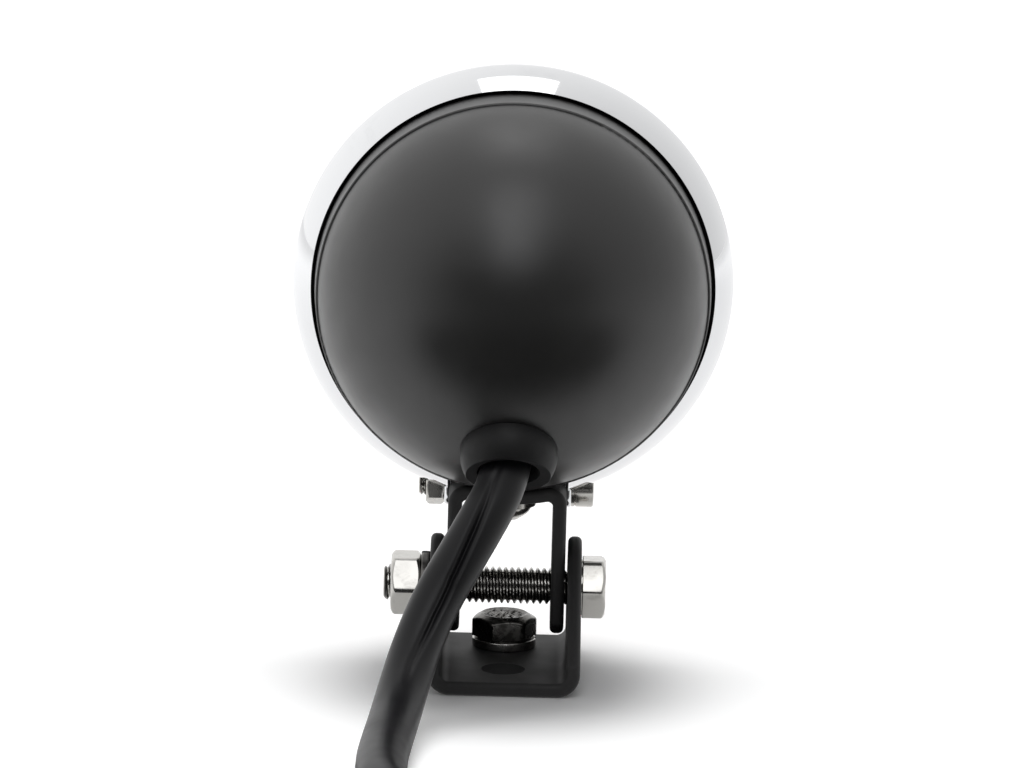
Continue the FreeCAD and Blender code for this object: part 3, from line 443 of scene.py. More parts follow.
def make_thread_flanks():
    """Where a thread's flanks are, for painted shade: by the distance from the axis, none on the crest
    or in the root.
    """
    tree, source, result = new_group(
        "thread_flanks",
        [("Vector", "NodeSocketVector", None), ("Centre", "NodeSocketVector", None),
         ("Across", "NodeSocketVector", (1.0, 1.0, 1.0)), ("Crest", "NodeSocketFloat", 4.0 * MM),
         ("Root", "NodeSocketFloat", 3.3 * MM)],
        ["Mask"],
    )
    away = add(tree, "ShaderNodeVectorMath", operation="SUBTRACT")
    across = add(tree, "ShaderNodeVectorMath", operation="MULTIPLY")
    reach = add(tree, "ShaderNodeVectorMath", operation="LENGTH")
    depth = add(tree, "ShaderNodeMapRange")
    fold = add(tree, "ShaderNodeMath", operation="PINGPONG")
    fold.inputs[1].default_value = 0.5
    flank = add(tree, "ShaderNodeMapRange", {"From Min": 0.06, "From Max": 0.3},
                interpolation_type="SMOOTHSTEP")
    tree.links.new(source.outputs["Vector"], away.inputs[0])
    tree.links.new(source.outputs["Centre"], away.inputs[1])
    tree.links.new(away.outputs["Vector"], across.inputs[0])
    tree.links.new(source.outputs["Across"], across.inputs[1])
    wire(tree, across, "Vector", reach, "Vector", reach, "Value", depth, "Value",
         source, "Crest", depth, "From Min", source, "Root", depth, "From Max")
    tree.links.new(depth.outputs["Result"], fold.inputs[0])
    wire(tree, fold, "Value", flank, "Value", flank, "Result", result, "Mask")
    return tree


tool_lines = make_tool_lines()
thread_flanks = make_thread_flanks()
print("groups:", tool_lines.name, thread_flanks.name)

# %% [markdown]
# ## Finishes
# Every finish is one Principled shader. What is the same all over sits on its own sockets; the
# groups bring what changes over the surface: colour patches, painted thread shade, roughness and a
# shallow bump.

# %% Parts of a finish
def new_finish(name, values):
    """An empty material with a Principled shader and its plain values."""
    material = bpy.data.materials.new(name)
    material.use_nodes = True
    shader = material.node_tree.nodes["Principled BSDF"]
    for label, value in values.items():
        shader.inputs[label].default_value = value
    return material, material.node_tree, shader


def use_group(tree, group, coordinates, values):
    """Places a shared group and feeds it the surface coordinates."""
    node = add(tree, "ShaderNodeGroup", node_tree=group)
    for label, value in values.items():
        node.inputs[label].default_value = value
    tree.links.new(coordinates, node.inputs["Vector"])
    return node


def between(tree, value, low, high):
    """A number that runs from low to high as a mask runs from 0.3 to 0.7."""
    node = add(tree, "ShaderNodeMapRange",
               {"From Min": 0.3, "From Max": 0.7, "To Min": low, "To Max": high})
    tree.links.new(value, node.inputs["Value"])
    return node.outputs["Result"]


def two_tone(tree, mask, first, second):
    """A colour between two, by a mask."""
    node = add(tree, "ShaderNodeMix", data_type="RGBA")
    node.inputs["A"].default_value = (*first, 1.0)
    node.inputs["B"].default_value = (*second, 1.0)
    tree.links.new(mask, node.inputs["Factor"])
    return node.outputs["Result"]


# Near black, painted on a thread's flanks as shade.
FLANK_SHADE_BLACK = (0.02, 0.019, 0.018, 1.0)


def darkened(tree, colour, mask):
    """A colour with painted shade, which goes to near black as a mask goes to one."""
    node = add(tree, "ShaderNodeMix", data_type="RGBA")
    node.inputs["B"].default_value = FLANK_SHADE_BLACK
    tree.links.new(colour, node.inputs["A"])
    tree.links.new(mask, node.inputs["Factor"])
    return node.outputs["Result"]


print("painted shade on the thread flanks:", FLANK_SHADE_BLACK)

# %% A finish from its numbers
def surface_finish(name, colours, roughness, grain, bump, marks=(12.0, 0.55, 0.75), metallic=0.0,
                   attribute=None, lines=None, thread=None, extra=None):
    """
    A finish with two close colours, a roughness that wanders between two values, a grain of a given
    size in millimetres, a bump with its strength and its height in millimetres, and handling marks,
    with their size and the ends of their step, that pick between the colours. Painted shade darkens
    a thread's flanks where its axis and radii are given.
    """
    material, tree, shader = new_finish(name, {"Metallic": metallic, **(extra or {})})
    if attribute:
        coordinates = add(tree, "ShaderNodeAttribute", attribute_name=attribute).outputs["Vector"]
    else:
        coordinates = add(tree, "ShaderNodeTexCoord").outputs["Object"]
    grained = use_group(tree, fine_grain, coordinates, {"Size": grain})
    size, start, end = marks
    marked = use_group(tree, handling, coordinates, {"Size": size, "Start": start, "End": end})
    colour = two_tone(tree, marked.outputs["Mask"], *colours)
    # Painted shade on the thread's flanks.
    if thread:
        flanked = use_group(tree, thread_flanks, coordinates, thread)
        colour = darkened(tree, colour, flanked.outputs["Mask"])
    tree.links.new(colour, shader.inputs["Base Color"])
    tree.links.new(between(tree, grained.outputs["Patches"], *roughness), shader.inputs["Roughness"])
    height = grained.outputs["Height"]
    if lines:
        lined = use_group(tree, tool_lines, coordinates, {"Stretch": lines})
        height = joined(tree, "ADD", height, lined.outputs["Height"])
    raised = add(tree, "ShaderNodeBump", {"Strength": bump[0], "Distance": bump[1] * MM})
    tree.links.new(height, raised.inputs["Height"])
    tree.links.new(raised.outputs["Normal"], shader.inputs["Normal"])
    return material


# %% Paint, rubber and sleeve
satin_black = surface_finish(
    "satin_black_paint", colours=((0.0046, 0.0044, 0.0043), (0.006, 0.0058, 0.0057)),
    roughness=(0.35, 0.40), grain=0.5, bump=(0.06, 0.02), extra={"Specular IOR Level": 0.62})
bracket_black = surface_finish(
    "bracket_black_paint", colours=((0.024, 0.0237, 0.024), (0.031, 0.0305, 0.031)),
    roughness=(0.54, 0.62), grain=0.6, bump=(0.12, 0.03), extra={"Specular IOR Level": 0.22})
boot_rubber = surface_finish(
    "boot_rubber", colours=((0.0042, 0.0042, 0.0045), (0.007, 0.0068, 0.007)),
    roughness=(0.48, 0.58), grain=0.35, bump=(0.25, 0.03), extra={"Specular IOR Level": 0.24})
sleeve_black = surface_finish(
    "sleeve_black", colours=((0.0035, 0.0034, 0.0042), (0.0055, 0.0053, 0.0062)),
    roughness=(0.36, 0.46), grain=0.7, bump=(0.12, 0.03), attribute="unrolled",
    extra={"Specular IOR Level": 0.24})
connector_nylon = surface_finish(
    "connector_nylon", colours=((0.012, 0.012, 0.0125), (0.018, 0.018, 0.0185)),
    roughness=(0.42, 0.55), grain=0.4, bump=(0.2, 0.03))
contact_board = surface_finish(
    "contact_board", colours=((0.30, 0.16, 0.08), (0.36, 0.2, 0.1)),
    roughness=(0.5, 0.65), grain=0.6, bump=(0.2, 0.04))
print("paint and rubber:", [satin_black.name, bracket_black.name, boot_rubber.name, sleeve_black.name])

# %% Where the threads lie
BOLT_RADIUS = 4.0 * MM
BOLT_DEPTH = 0.72 * MM
CLAMP_RADIUS = 2.5 * MM
BOLT_THREAD = {"Crest": BOLT_RADIUS, "Root": BOLT_RADIUS - BOLT_DEPTH}
CLAMP_THREAD = {"Crest": CLAMP_RADIUS, "Root": 2.15 * MM}
# The directions that lead away from an axis along x, and from one along z.
ROUND_X = (0.0, 1.0, 1.0)
ROUND_Z = (1.0, 1.0, 0.0)

pivot = np.array(frame["joints"][0]["pos_m"])
clamp_low, clamp_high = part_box("ring_clamp_screw")
clamp_centre = (0.0, (clamp_low.y + clamp_high.y) / 2, (clamp_low.z + clamp_high.z) / 2)
print("cross bolt's axis at", pivot, "and the clamp's at", np.round(clamp_centre, 4))

# %% Chrome, zinc and dark plating
LINE_STRETCH = (0.15, 2.0, 0.15)
ZINC = dict(
    colours=((0.47, 0.46, 0.437), (0.36, 0.35, 0.332)), roughness=(0.13, 0.28), grain=0.5,
    marks=(4.0, 0.5, 0.72), metallic=1.0)

ring_chrome = surface_finish(
    "ring_chrome", colours=((0.67, 0.675, 0.685), (0.64, 0.645, 0.655)),
    roughness=(0.035, 0.075), grain=3.0, bump=(0.01, 0.01), metallic=1.0)
bright_zinc = surface_finish("bright_zinc", **ZINC, bump=(0.10, 0.03), lines=LINE_STRETCH)
cross_zinc = surface_finish(
    "cross_bolt_zinc", **ZINC, bump=(0.06, 0.02), lines=LINE_STRETCH,
    thread={**BOLT_THREAD, "Centre": tuple(pivot), "Across": ROUND_X})
clamp_zinc = surface_finish(
    "clamp_screw_zinc", **ZINC, bump=(0.10, 0.03),
    thread={**CLAMP_THREAD, "Centre": clamp_centre, "Across": ROUND_X})
dark_nickel = surface_finish(
    "dark_nickel", colours=((0.15, 0.146, 0.138), (0.06, 0.058, 0.054)),
    roughness=(0.2, 0.36), grain=0.4, bump=(0.35, 0.06), marks=(2.0, 0.42, 0.62), metallic=1.0,
    thread={**BOLT_THREAD, "Centre": (0.0, 0.0, 0.0), "Across": ROUND_Z})
print("plated:", [m.name for m in (ring_chrome, bright_zinc, cross_zinc, clamp_zinc, dark_nickel)])

# %% Steel, brass and mirror
ROLLED = dict(grain=0.6, bump=(0.25, 0.05), marks=(3.0, 0.45, 0.65), metallic=1.0)

spring_steel = surface_finish(
    "spring_steel", colours=((0.14, 0.135, 0.13), (0.07, 0.068, 0.065)), roughness=(0.2, 0.36), **ROLLED)
washer_steel = surface_finish(
    "washer_steel", colours=((0.55, 0.54, 0.52), (0.30, 0.29, 0.28)), roughness=(0.2, 0.34), **ROLLED)
plated_steel = surface_finish(
    "plated_steel", colours=((0.62, 0.61, 0.59), (0.5, 0.49, 0.47)),
    roughness=(0.25, 0.4), grain=0.8, bump=(0.15, 0.03), metallic=1.0)
cap_brass = surface_finish(
    "cap_brass", colours=((0.74, 0.58, 0.28), (0.55, 0.42, 0.19)),
    roughness=(0.22, 0.38), grain=0.6, bump=(0.15, 0.03), metallic=1.0)
bowl_mirror = surface_finish(
    "bowl_mirror", colours=((0.93, 0.93, 0.92), (0.88, 0.88, 0.87)),
    roughness=(0.04, 0.10), grain=2.0, bump=(0.02, 0.01), metallic=1.0)
bare_metals = (spring_steel, washer_steel, plated_steel, cap_brass, bowl_mirror)
print("bare metals:", [m.name for m in bare_metals])

# %% Finish of the ground
pale_floor, floor_tree, floor_shader = new_finish(
    "pale_floor", {"Base Color": (0.9, 0.9, 0.9, 1.0), "Roughness": 0.85, "Emission Strength": 1.0})
floor_spot = add(floor_tree, "ShaderNodeTexCoord")


def glow(centre, near, far, ends):
    """Painted light in the ground: an emission that changes between two ends with the distance from a
    point on the ground.
    """
    away = add(floor_tree, "ShaderNodeVectorMath", operation="DISTANCE")
    away.inputs[1].default_value = centre
    change = add(floor_tree, "ShaderNodeMapRange",
                 {"From Min": near, "From Max": far, "To Min": ends[0], "To Max": ends[1]},
                 interpolation_type="SMOOTHSTEP")
    floor_tree.links.new(floor_spot.outputs["Object"], away.inputs[0])
    wire(floor_tree, away, "Value", change, "Value")
    return change.outputs["Result"]


# Painted light: the ground glows, not at all round the base and more further out, which lifts the edge
# of the cast shadow; far off it glows most, more to the left than to the right.
painted_light_round_base = glow((0.0, -0.025, 0.0), 0.017, 0.052, (0.0, 0.3))
painted_light_far_away = glow((0.2, 0.0, 0.0), 0.1, 1.1, (0.0, 0.45))
# Painted reflection: near the bolts the ground glows only in glossy rays, so the bolts' lower faces
# mirror a lighter ground than there is.
painted_reflection_under_bolts = glow((0.0, -0.024, 0.0), 0.022, 0.05, (0.42, 0.0))
floor_ray = add(floor_tree, "ShaderNodeLightPath")
painted_reflection_in_glossy_rays = joined(floor_tree, "MULTIPLY", painted_reflection_under_bolts, floor_ray.outputs["Is Glossy Ray"])
always = joined(floor_tree, "ADD", painted_light_round_base, painted_light_far_away)
painted_floor_light = joined(floor_tree, "ADD", always, painted_reflection_in_glossy_rays)
floor_tree.links.new(painted_floor_light, floor_shader.inputs["Emission Color"])
print("ground:", pale_floor.name)

# %% Finish of the card, with a soft oval edge
CARD_MIDDLE = (0.05, -0.68, 0.0)
CARD_OVAL = (1.75, 1.6, 0.0)
CARD_FADE = (0.93, 1.0)

card_grey, card_tree, card_shader = new_finish(
    "card_grey", {"Base Color": (0.06, 0.06, 0.06, 1.0), "Roughness": 0.9})
card_spot = add(card_tree, "ShaderNodeTexCoord")
card_away = add(card_tree, "ShaderNodeVectorMath", operation="SUBTRACT")
card_away.inputs[1].default_value = CARD_MIDDLE
card_oval = add(card_tree, "ShaderNodeVectorMath", operation="MULTIPLY")
card_oval.inputs[1].default_value = CARD_OVAL
card_reach = add(card_tree, "ShaderNodeVectorMath", operation="LENGTH")
card_edge = add(card_tree, "ShaderNodeMapRange",
                {"From Min": CARD_FADE[0], "From Max": CARD_FADE[1], "To Min": 1.0, "To Max": 0.0},
                interpolation_type="SMOOTHSTEP")
card_tree.links.new(card_spot.outputs["Object"], card_away.inputs[0])
card_tree.links.new(card_away.outputs["Vector"], card_oval.inputs[0])
wire(card_tree, card_oval, "Vector", card_reach, "Vector", card_reach, "Value", card_edge, "Value",
     card_edge, "Result", card_shader, "Alpha")
print("card:", card_grey.name)

# %% Red lens and bulb glass
WAVE_STRENGTH = 0.05
WAVE_HEIGHT = 0.05 * MM


def clear_finish(name, colour, roughness, ior, grain):
    """A see-through plastic or glass with a faint moulded waviness."""
    material, tree, shader = new_finish(
        name, {"Base Color": (*colour, 1.0), "Transmission Weight": 1.0,
               "Roughness": roughness, "IOR": ior})
    coordinates = add(tree, "ShaderNodeTexCoord").outputs["Object"]
    grained = use_group(tree, fine_grain, coordinates, {"Size": grain})
    raised = add(tree, "ShaderNodeBump", {"Strength": WAVE_STRENGTH, "Distance": WAVE_HEIGHT})
    tree.links.new(grained.outputs["Height"], raised.inputs["Height"])
    tree.links.new(raised.outputs["Normal"], shader.inputs["Normal"])
    return material


red_lens = clear_finish("red_lens", (0.78, 0.015, 0.02), 0.05, 1.49, 6.0)
bulb_clear = clear_finish("bulb_clear", (0.97, 0.97, 0.96), 0.02, 1.5, 4.0)
print("clear finishes:", red_lens.name, bulb_clear.name)

# %% [markdown]
# ## Threaded bolts and screws
# A bolt is a single grid: from the middle of its head, over the rim, down the thread to its tip.
# Round a hexagon head the radius follows a hexagon; along the shank it follows the thread's ridge,
# which climbs by one pitch in a turn. Head and shank are lists of rows, so that one shank serves
# every head.

# %% Rows of a thread
COLUMNS = 72
angle = np.linspace(0.0, 2 * np.pi, COLUMNS, endpoint=False)[None, :]
one = np.ones_like(angle)
SOFT_EDGE = 0.22 * MM
RIDGE_GAIN, RIDGE_CUT = 1.7, 0.35
THREAD_FROM = 0.4
TIP_CUT, TIP_SLOPE, TIP_FACE = 1.05, 0.9, 0.6


def ridge(along, pitch):
    """
    A thread's ridge from 0 to 1: a triangle wave of the height over the pitch less the turn, made
    steeper and cut flat at both ends.
    """
    phase = np.mod(along / pitch - angle / (2 * np.pi), 1.0)
    return np.clip(RIDGE_GAIN * np.abs(2 * phase - 1) - RIDGE_CUT, 0.0, 1.0)


def shank_rows(shank, radius, pitch, depth, rows_per_pitch=14):
    """
    Rows (radius, height) from under the head to the tip: the crest radius, less the depth times one
    minus the ridge. The thread grows to its depth over one pitch below the head, a cone draws in the
    tip, and the last row shrinks to a point.
    """
    along = np.linspace(0.0, shank, int(shank / pitch * rows_per_pitch))[:, None]
    growth = np.clip((along - THREAD_FROM * pitch) / pitch, 0, 1)
    size = radius - depth * (1 - ridge(along, pitch)) * growth
    size = np.minimum(size, radius - depth * TIP_CUT + (shank - along) * TIP_SLOPE)
    height = np.broadcast_to(along, size.shape)
    return [(size, height), (TIP_FACE * size[-1:], shank * one), (0.0 * one, shank * one)]


def rows_to_grid(rows):
    """Stacks rows of radius and height and turns them into points round the z axis."""
    r = np.concatenate([radius * one for radius, height in rows])
    h = np.concatenate([height * one for radius, height in rows])
    return np.stack([r * np.cos(angle), r * np.sin(angle), h], axis=-1)


print("columns round a bolt:", COLUMNS)

# %% Heads and nuts
FORGED = ((3.1, 0.4, 1.7), (-2.3, 4.1, 0.2), (5.7, -3.3, 2.9),
          (1.9, 6.5, 4.4), (-7.7, 2.1, 0.9), (6.3, 7.1, 3.6))
FORGED_ROWS = 15
CHAMFER = math.tan(math.radians(30))


def hexagon_radius(turn, flat):
    """Distance from the axis to a hexagon's side: the flat over the cosine from the side's middle."""
    part = np.mod(angle - turn, np.pi / 3) - np.pi / 6
    return flat / np.cos(part)


def forged_rows(rounded, head, rough):
    """
    A head's top from its middle to its rim, with a rough skin: six crossed sine waves of a few
    millimetres, which fade out at the rim.
    """
    share = np.linspace(0.0, 1.0, FORGED_ROWS)[:, None]
    x = share * rounded / MM * np.cos(angle)
    y = share * rounded / MM * np.sin(angle)
    waves = sum(np.sin(a * x + b * y + c) for a, b, c in FORGED)
    return [(share * rounded * one, -head + rough * (1 - share ** 6) * (1 + waves / len(FORGED)))]


def hex_head(head, turn, flat, rounded, rough):
    """
    Rows over a hexagon head: a rough round top, then the hexagon, whose upper edge drops by tan 30 for
    each unit that a corner lies outside the round top, then a thin round face below.
    """
    hexagon = hexagon_radius(turn, flat)
    drop = (hexagon - rounded) * CHAMFER
    face = 0.97 * flat
    return forged_rows(rounded, head, rough) + [
        (hexagon - 2 * SOFT_EDGE, -head + drop - 0.25 * MM),
        (hexagon - SOFT_EDGE, -head + drop - 0.12 * MM),
        (hexagon, -head + drop + SOFT_EDGE),
        (hexagon, -head + drop + 2 * SOFT_EDGE),
        (hexagon, -0.6 * MM),
        (hexagon, -0.45 * MM),
        (hexagon - SOFT_EDGE, -0.3 * MM),
        (face, -0.28 * MM),
        (face, 0.0),
    ]


def socket_head(profile, socket, depth):
    """
    Rows over a screw head with a hexagon socket: the socket's floor, its wall, then a profile of
    (radius, height) pairs from the socket's rim to under the head.
    """
    top = profile[0][1]
    hexagon = hexagon_radius(0.0, socket)
    return [(0.0, top + depth), (hexagon, top + depth), (hexagon, top + SOFT_EDGE), *profile]


def nut_rows(height, bore, turn, flat, rounded):
    """
    A closed ring of rows: out over the lower face, up the outside, in over the top, and down the bore
    as the last row joins the first. Both ends of the hexagon are turned to a cone, so each corner's
    edge drops by tan 30 outside the round face. Two close rows at each edge keep the flats flat.
    """
    hexagon = hexagon_radius(turn, flat)
    drop = (hexagon - rounded) * CHAMFER
    sink = 0.14 * bore
    return [
        (bore, sink),
        (bore + sink, 0.0),
        (rounded, 0.0),
        (hexagon - SOFT_EDGE, drop - 0.12 * MM),
        (hexagon, drop + SOFT_EDGE),
        (hexagon, drop + 2 * SOFT_EDGE),
        (hexagon, height - drop - 2 * SOFT_EDGE),
        (hexagon, height - drop - SOFT_EDGE),
        (hexagon - SOFT_EDGE, height - drop + 0.12 * MM),
        (rounded, height),
        (bore + sink, height),
        (bore, height - sink),
    ]


print("waves in a forged top:", len(FORGED))

# %% Cross bolt and foot bolt
HEX_FLAT = 6.32 * MM
HEX_ROUND = 6.05 * MM
BOLT_HEAD = 5.3 * MM
BOLT_PITCH = 1.4 * MM
CROSS_TURN, CROSS_ROUGH = math.radians(2.5), 0.05 * MM
FOOT_TURN, FOOT_ROUGH, FOOT_ROUND = math.radians(-8.0), 0.45 * MM, 5.0 * MM


def turned(name, rows, at, along, across, loop=False):
    """A piece from rows of radius and height round its own axis, stood in its place."""
    return skin(name, stand(rows_to_grid(rows), at, along, across), loop=loop)


def mount(piece, body, node):
    """Puts a finished piece on its body, in the place of its solid."""
    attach(piece, body)
    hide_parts(node)


bolt_low, bolt_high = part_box("tilt_bolt")
head_seat = bolt_high.x - BOLT_HEAD
cross_rows = hex_head(BOLT_HEAD, CROSS_TURN, HEX_FLAT, HEX_ROUND, CROSS_ROUGH)
cross_rows += shank_rows(head_seat - bolt_low.x, BOLT_RADIUS, BOLT_PITCH, BOLT_DEPTH)
cross_bolt = turned("cross_bolt", cross_rows, (head_seat, *pivot[1:]), (-1, 0, 0), (0, 1, 0))
mount(cross_bolt, "base", "tilt_bolt")

foot_low, foot_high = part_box("foot_bolt")
foot_seat = foot_high.z - BOLT_HEAD
foot_rows = hex_head(BOLT_HEAD, FOOT_TURN, HEX_FLAT, FOOT_ROUND, FOOT_ROUGH)
foot_rows += shank_rows(foot_seat - foot_low.z, BOLT_RADIUS, BOLT_PITCH, BOLT_DEPTH)
foot_screw = turned("foot_screw", foot_rows, (0, 0, foot_seat), (0, 0, -1), (1, 0, 0))
mount(foot_screw, "base", "foot_bolt")

# %% The cross bolt's nut
NUT_TURN, NUT_BORE = math.radians(3.0), 4.02 * MM

nut_low, nut_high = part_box("tilt_nut")
cross_nut_rows = nut_rows(nut_high.x - nut_low.x, NUT_BORE, NUT_TURN, HEX_FLAT, HEX_ROUND)
cross_nut = turned("cross_nut", cross_nut_rows, (nut_low.x, *pivot[1:]), (1, 0, 0), (0, 1, 0), loop=True)
mount(cross_nut, "base", "tilt_nut")

# %% The clamp's screw
CLAMP_HEAD = 4.9 * MM
CLAMP_HEAD_RADIUS = 4.25 * MM
CLAMP_PITCH, CLAMP_DEPTH = 0.8 * MM, 0.44 * MM
SOCKET_FLAT = 2.0 * MM
CLAMP_SOCKET_DEPTH = 2.4 * MM
SMALL_ROWS = 8

clamp_seat = clamp_high.x - CLAMP_HEAD
clamp_head_rows = socket_head([
    (SOCKET_FLAT * 1.2, -CLAMP_HEAD),
    (CLAMP_HEAD_RADIUS - 0.5 * MM, -CLAMP_HEAD),
    (CLAMP_HEAD_RADIUS - 0.15 * MM, -CLAMP_HEAD + 0.15 * MM),
    (CLAMP_HEAD_RADIUS, -CLAMP_HEAD + 0.5 * MM),
    (CLAMP_HEAD_RADIUS, -1.1 * MM),
    (CLAMP_HEAD_RADIUS - 0.25 * MM, -0.95 * MM),
    (CLAMP_HEAD_RADIUS - 0.25 * MM, -0.8 * MM),
    (CLAMP_HEAD_RADIUS, -0.65 * MM),
    (CLAMP_HEAD_RADIUS, 0.0),
], SOCKET_FLAT, CLAMP_SOCKET_DEPTH)
clamp_rows = clamp_head_rows + shank_rows(
    clamp_seat - clamp_low.x, CLAMP_RADIUS, CLAMP_PITCH, CLAMP_DEPTH, SMALL_ROWS)
clamp_screw = turned("clamp_screw", clamp_rows, (clamp_seat, *clamp_centre[1:]), (-1, 0, 0), (0, 1, 0))
mount(clamp_screw, "lamp", "ring_clamp_screw")

# %% The clamp's nut
CLAMP_NUT_TURN, CLAMP_NUT_BORE = math.radians(-30.0), 2.52 * MM
CLAMP_NUT_FLAT, CLAMP_NUT_ROUND = 3.93 * MM, 3.8 * MM

clamp_nut_low, clamp_nut_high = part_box("ring_clamp_nut")
clamp_nut_rows = nut_rows(
    clamp_nut_high.x - clamp_nut_low.x, CLAMP_NUT_BORE, CLAMP_NUT_TURN, CLAMP_NUT_FLAT, CLAMP_NUT_ROUND)
clamp_nut = turned("clamp_nut", clamp_nut_rows, (clamp_nut_low.x, *clamp_centre[1:]),
                   (1, 0, 0), (0, 1, 0), loop=True)
mount(clamp_nut, "lamp", "ring_clamp_nut")

# %% The screw under the saddle
BUTTON_HEIGHT = 3.2 * MM
BUTTON_RADIUS = 5.3 * MM
BUTTON_STEM = 3.0 * MM
BUTTON_PITCH, BUTTON_DEPTH = 1.0 * MM, 0.5 * MM
BUTTON_SOCKET_DEPTH = 1.6 * MM

button_low, button_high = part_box("shell_screw")
button_seat = button_low.z + BUTTON_HEIGHT
dome = np.linspace(math.radians(72.0), 0.0, 9)
steepest = math.sin(dome[0])
button_profile = [(BUTTON_RADIUS * math.cos(a), -BUTTON_HEIGHT * math.sin(a) / steepest) for a in dome]
button_rows = socket_head([
    (SOCKET_FLAT * 1.2, -BUTTON_HEIGHT),
    (SOCKET_FLAT * 1.25, -BUTTON_HEIGHT),
    *button_profile[3:],
], SOCKET_FLAT, BUTTON_SOCKET_DEPTH)
button_rows += shank_rows(
    button_high.z - button_low.z - BUTTON_HEIGHT, BUTTON_STEM, BUTTON_PITCH, BUTTON_DEPTH, SMALL_ROWS)
button_screw = turned("button_screw", button_rows, (0, pivot[1], button_seat), (0, 0, 1), (1, 0, 0))
mount(button_screw, "lamp", "shell_screw")

# %% [markdown]
# ## Split washers
# A spring washer is a square wire bent to a ring, with a slit. Its section, a square with soft
# corners, is carried round the axis from one side of the slit to the other.

# %% Split washers
WASHER_BORE = 4.3 * MM
WASHER_RADIUS = 7.0 * MM
WASHER_THICK = 2.0 * MM
WASHER_SLIT = 0.2
WASHER_STEPS = 97
WIRE_COLUMNS = 32


def split_ring(bore, outer, thick, slit):
    """
    A section in the form of a rounded square, where the sixth powers of both coordinates add up to one,
    carried round the z axis from the slit's one side to its other.
    """
    turn = np.linspace(slit / 2, 2 * np.pi - slit / 2, WASHER_STEPS)[:, None]
    round_section = np.linspace(0.0, 2 * np.pi, WIRE_COLUMNS, endpoint=False)[None, :]
    across = np.sign(np.cos(round_section)) * np.abs(np.cos(round_section)) ** (1 / 3)
    up = np.sign(np.sin(round_section)) * np.abs(np.sin(round_section)) ** (1 / 3)
    r = (outer + bore) / 2 + across * (outer - bore) / 2
    h = np.broadcast_to(thick / 2 * (1 + up), (len(turn), up.shape[1]))
    return np.stack([r * np.cos(turn), r * np.sin(turn), h], axis=-1)


washer_grid = split_ring(WASHER_BORE, WASHER_RADIUS, WASHER_THICK, WASHER_SLIT)
cross_washer_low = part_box("tilt_lock_washer")[0]
cross_washer_grid = stand(washer_grid, (cross_washer_low.x, *pivot[1:]), (1, 0, 0), (0, 0, 1))
cross_washer = skin("cross_split_washer", cross_washer_grid, capped=True)
mount(cross_washer, "base", "tilt_lock_washer")
foot_washer_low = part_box("foot_lock_washer")[0]
foot_washer_grid = stand(washer_grid, (0, 0, foot_washer_low.z), (0, 0, 1), (1, 0, 0))
foot_washer = skin("foot_split_washer", foot_washer_grid, capped=True)
mount(foot_washer, "base", "foot_lock_washer")

# %% [markdown]
# ## The chrome ring
# A mirror shows every facet, so the ring gets a finer surface than its solid has. Its section is a
# chain of arcs: a thin rear edge, a skirt that swells to the rim, a bead over the front and a lip,
# and then the way back inside. The section is carried round the lamp's axis from one side of the
# split below to the other, and its front stops earlier, where the clamp's screw and nut sit.

# %% The ring's section
# All in millimetres. A point of the section is its radius, and its distance from the rear edge.
RING_REAR = -3.0
RING_AXIS = 82.8
SPLIT_HALF = 13.2
NOTCH_HALF = 20.5
NOTCH_DROP = 41.35
NOTCH_FROM = 10.65
REAR_EDGE, RIM, BEAD_END = (43.8, 0.0), (48.0, 9.0), (44.2, 16.35)
FRONT, LIP_FROM, LIP = (39.8, 17.0), (39.4, 16.95), (38.7, 16.45)
INNER_EDGE, INNER_RIM, INNER_BEAD, INNER_LIP = (43.7, 0.05), (46.9, 9.0), (42.3, 15.7), (38.7, 15.7)
SKIRT_BEND, BEAD_BEND = 28.0, 7.5
SKIRT_POINTS = 20


def arc(start, end, radius, count):
    """Points on a circle of a given radius from start to end, bulging to the right of its run."""
    start = np.array(start, float)
    end = np.array(end, float)
    run = end - start
    length = np.linalg.norm(run)
    right = np.array([run[1], -run[0]]) / length
    centre = (start + end) / 2 - right * math.sqrt(radius ** 2 - (length / 2) ** 2)
    first = math.atan2(start[1] - centre[1], start[0] - centre[0])
    last = math.atan2(end[1] - centre[1], end[0] - centre[0])
    turn = np.linspace(first, last, count)
    return centre + radius * np.stack([np.cos(turn), np.sin(turn)], axis=-1)


def parted(start, end, radius):
    """An arc in two runs that meet where the notch begins, with that point in both."""
    fine = arc(start, end, radius, 400)
    meet = (np.interp(NOTCH_FROM, fine[:, 1], fine[:, 0]), NOTCH_FROM)
    return arc(start, meet, radius, 6)[1:], arc(meet, end, radius, 16)


outer_back, outer_front = parted(RIM, BEAD_END, BEAD_BEND)
outside = np.concatenate([
    arc(REAR_EDGE, RIM, SKIRT_BEND, SKIRT_POINTS), outer_back, outer_front,
    arc(BEAD_END, FRONT, BEAD_BEND, 10)[1:], np.linspace(LIP_FROM, LIP, 3)])
inner_back, inner_front = parted(INNER_RIM, INNER_BEAD, BEAD_BEND)
inside = np.concatenate([
    arc(INNER_EDGE, INNER_RIM, SKIRT_BEND, SKIRT_POINTS), inner_back, inner_front,
    np.linspace(INNER_BEAD, INNER_LIP, 13)[1:]])
section = np.concatenate([outside, inside[::-1]])
print("ring section:", len(outside), "points outside,", len(inside), "inside")

# %% The ring and its two ears
RING_STEPS = 289
EAR_HALF = 0.79 * MM
EAR_HOLE = 2.8 * MM
EAR_FRONT, EAR_BACK, EAR_UP, EAR_DOWN = 4.2 * MM, 6.8 * MM, 4.2 * MM, 3.7 * MM


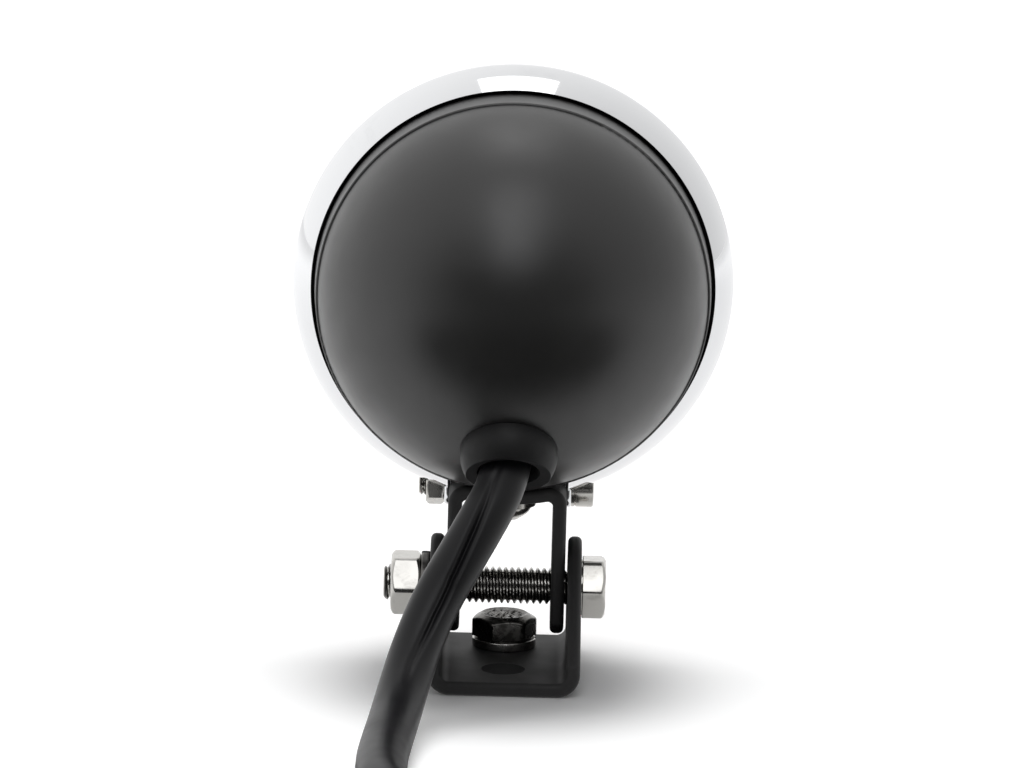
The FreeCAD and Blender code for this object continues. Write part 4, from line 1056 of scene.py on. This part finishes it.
def ring_grid(section, late, count):
    """
    Turns (radius, height) points about the lamp's axis. Each one starts where it meets the split's side,
    at the arc sine of half the split over its radius. Points in front start at the notch instead.
    """
    r, h = section[:, 0], section[:, 1]
    split = np.arcsin(SPLIT_HALF / r)
    notch = np.minimum(np.arcsin(NOTCH_HALF / r), np.arccos(np.minimum(NOTCH_DROP / r, 1.0)))
    end = np.where(late, np.maximum(split, notch), split)
    turn = end + np.linspace(0.0, 1.0, count)[:, None] * (2 * np.pi - 2 * end)
    across = np.broadcast_to(RING_REAR + h, turn.shape)
    return np.stack([r * np.sin(turn), across, RING_AXIS - r * np.cos(turn)], axis=-1) * MM


def ear_rows(half):
    """
    An ear round its screw hole: its outline is a rounded box, where the fourth powers of both
    coordinates over their reaches add up to one, and its rim is half round.
    """
    front = np.where(np.cos(angle) > 0, EAR_FRONT, EAR_BACK)
    high = np.where(np.sin(angle) > 0, EAR_UP, EAR_DOWN)
    outline = (np.abs(np.cos(angle) / front) ** 4 + np.abs(np.sin(angle) / high) ** 4) ** -0.25
    rim = np.linspace(-np.pi / 2, np.pi / 2, 9)
    rows = [(outline - half * (1 - math.cos(t)), half * math.sin(t)) for t in rim]
    return rows + [(EAR_HOLE, half), (EAR_HOLE, -half)]


in_front = np.arange(len(outside)) >= SKIRT_POINTS + len(outer_back)
late = np.concatenate([in_front, in_front[::-1]])
chrome_ring = skin("chrome_ring", ring_grid(section, late, RING_STEPS), capped=True)
mount(chrome_ring, "lamp", "trim_ring")
ear_outline = ear_rows(EAR_HALF)
for name, side in (("left_ear", -1), ("right_ear", 1)):
    at = (side * SPLIT_HALF * MM, *clamp_centre[1:])
    ear = turned(name, ear_outline, at, (1, 0, 0), (0, 1, 0), loop=True)
    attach(ear, "lamp")

# %% [markdown]
# ## Put the finishes on
# Each solid that stays takes its material here, by the finish that its real counterpart has.

# %% Finishes on the pieces
FINISHES = {
    satin_black: ["rear_shell"],
    bracket_black: ["base_bracket", "yoke"],
    ring_chrome: ["chrome_ring", "left_ear", "right_ear"],
    cross_zinc: ["cross_bolt"],
    clamp_zinc: ["clamp_screw"],
    bright_zinc: ["cross_nut", "clamp_nut", "button_screw", "shell_screw_washer", "shell_nut"],
    dark_nickel: ["foot_screw"],
    spring_steel: ["cross_split_washer", "contact_spring"],
    washer_steel: ["foot_split_washer"],
    boot_rubber: ["cable_grommet", "lens_gasket"],
    sleeve_black: ["lead_sleeve"],
    red_lens: ["lens"],
    bowl_mirror: ["reflector"],
    plated_steel: ["bulb_holder"],
    cap_brass: ["bulb_cap"],
    bulb_clear: ["bulb_glass"],
    contact_board: ["contact_disc"],
    connector_nylon: ["cable_connector"],
    pale_floor: ["floor"],
    card_grey: ["dark_card"],
}
for material, names in FINISHES.items():
    for name in names:
        mesh = bpy.data.objects[name].data
        mesh.materials.clear()
        mesh.materials.append(material)
print("pieces with a finish:", sum(len(names) for names in FINISHES.values()))
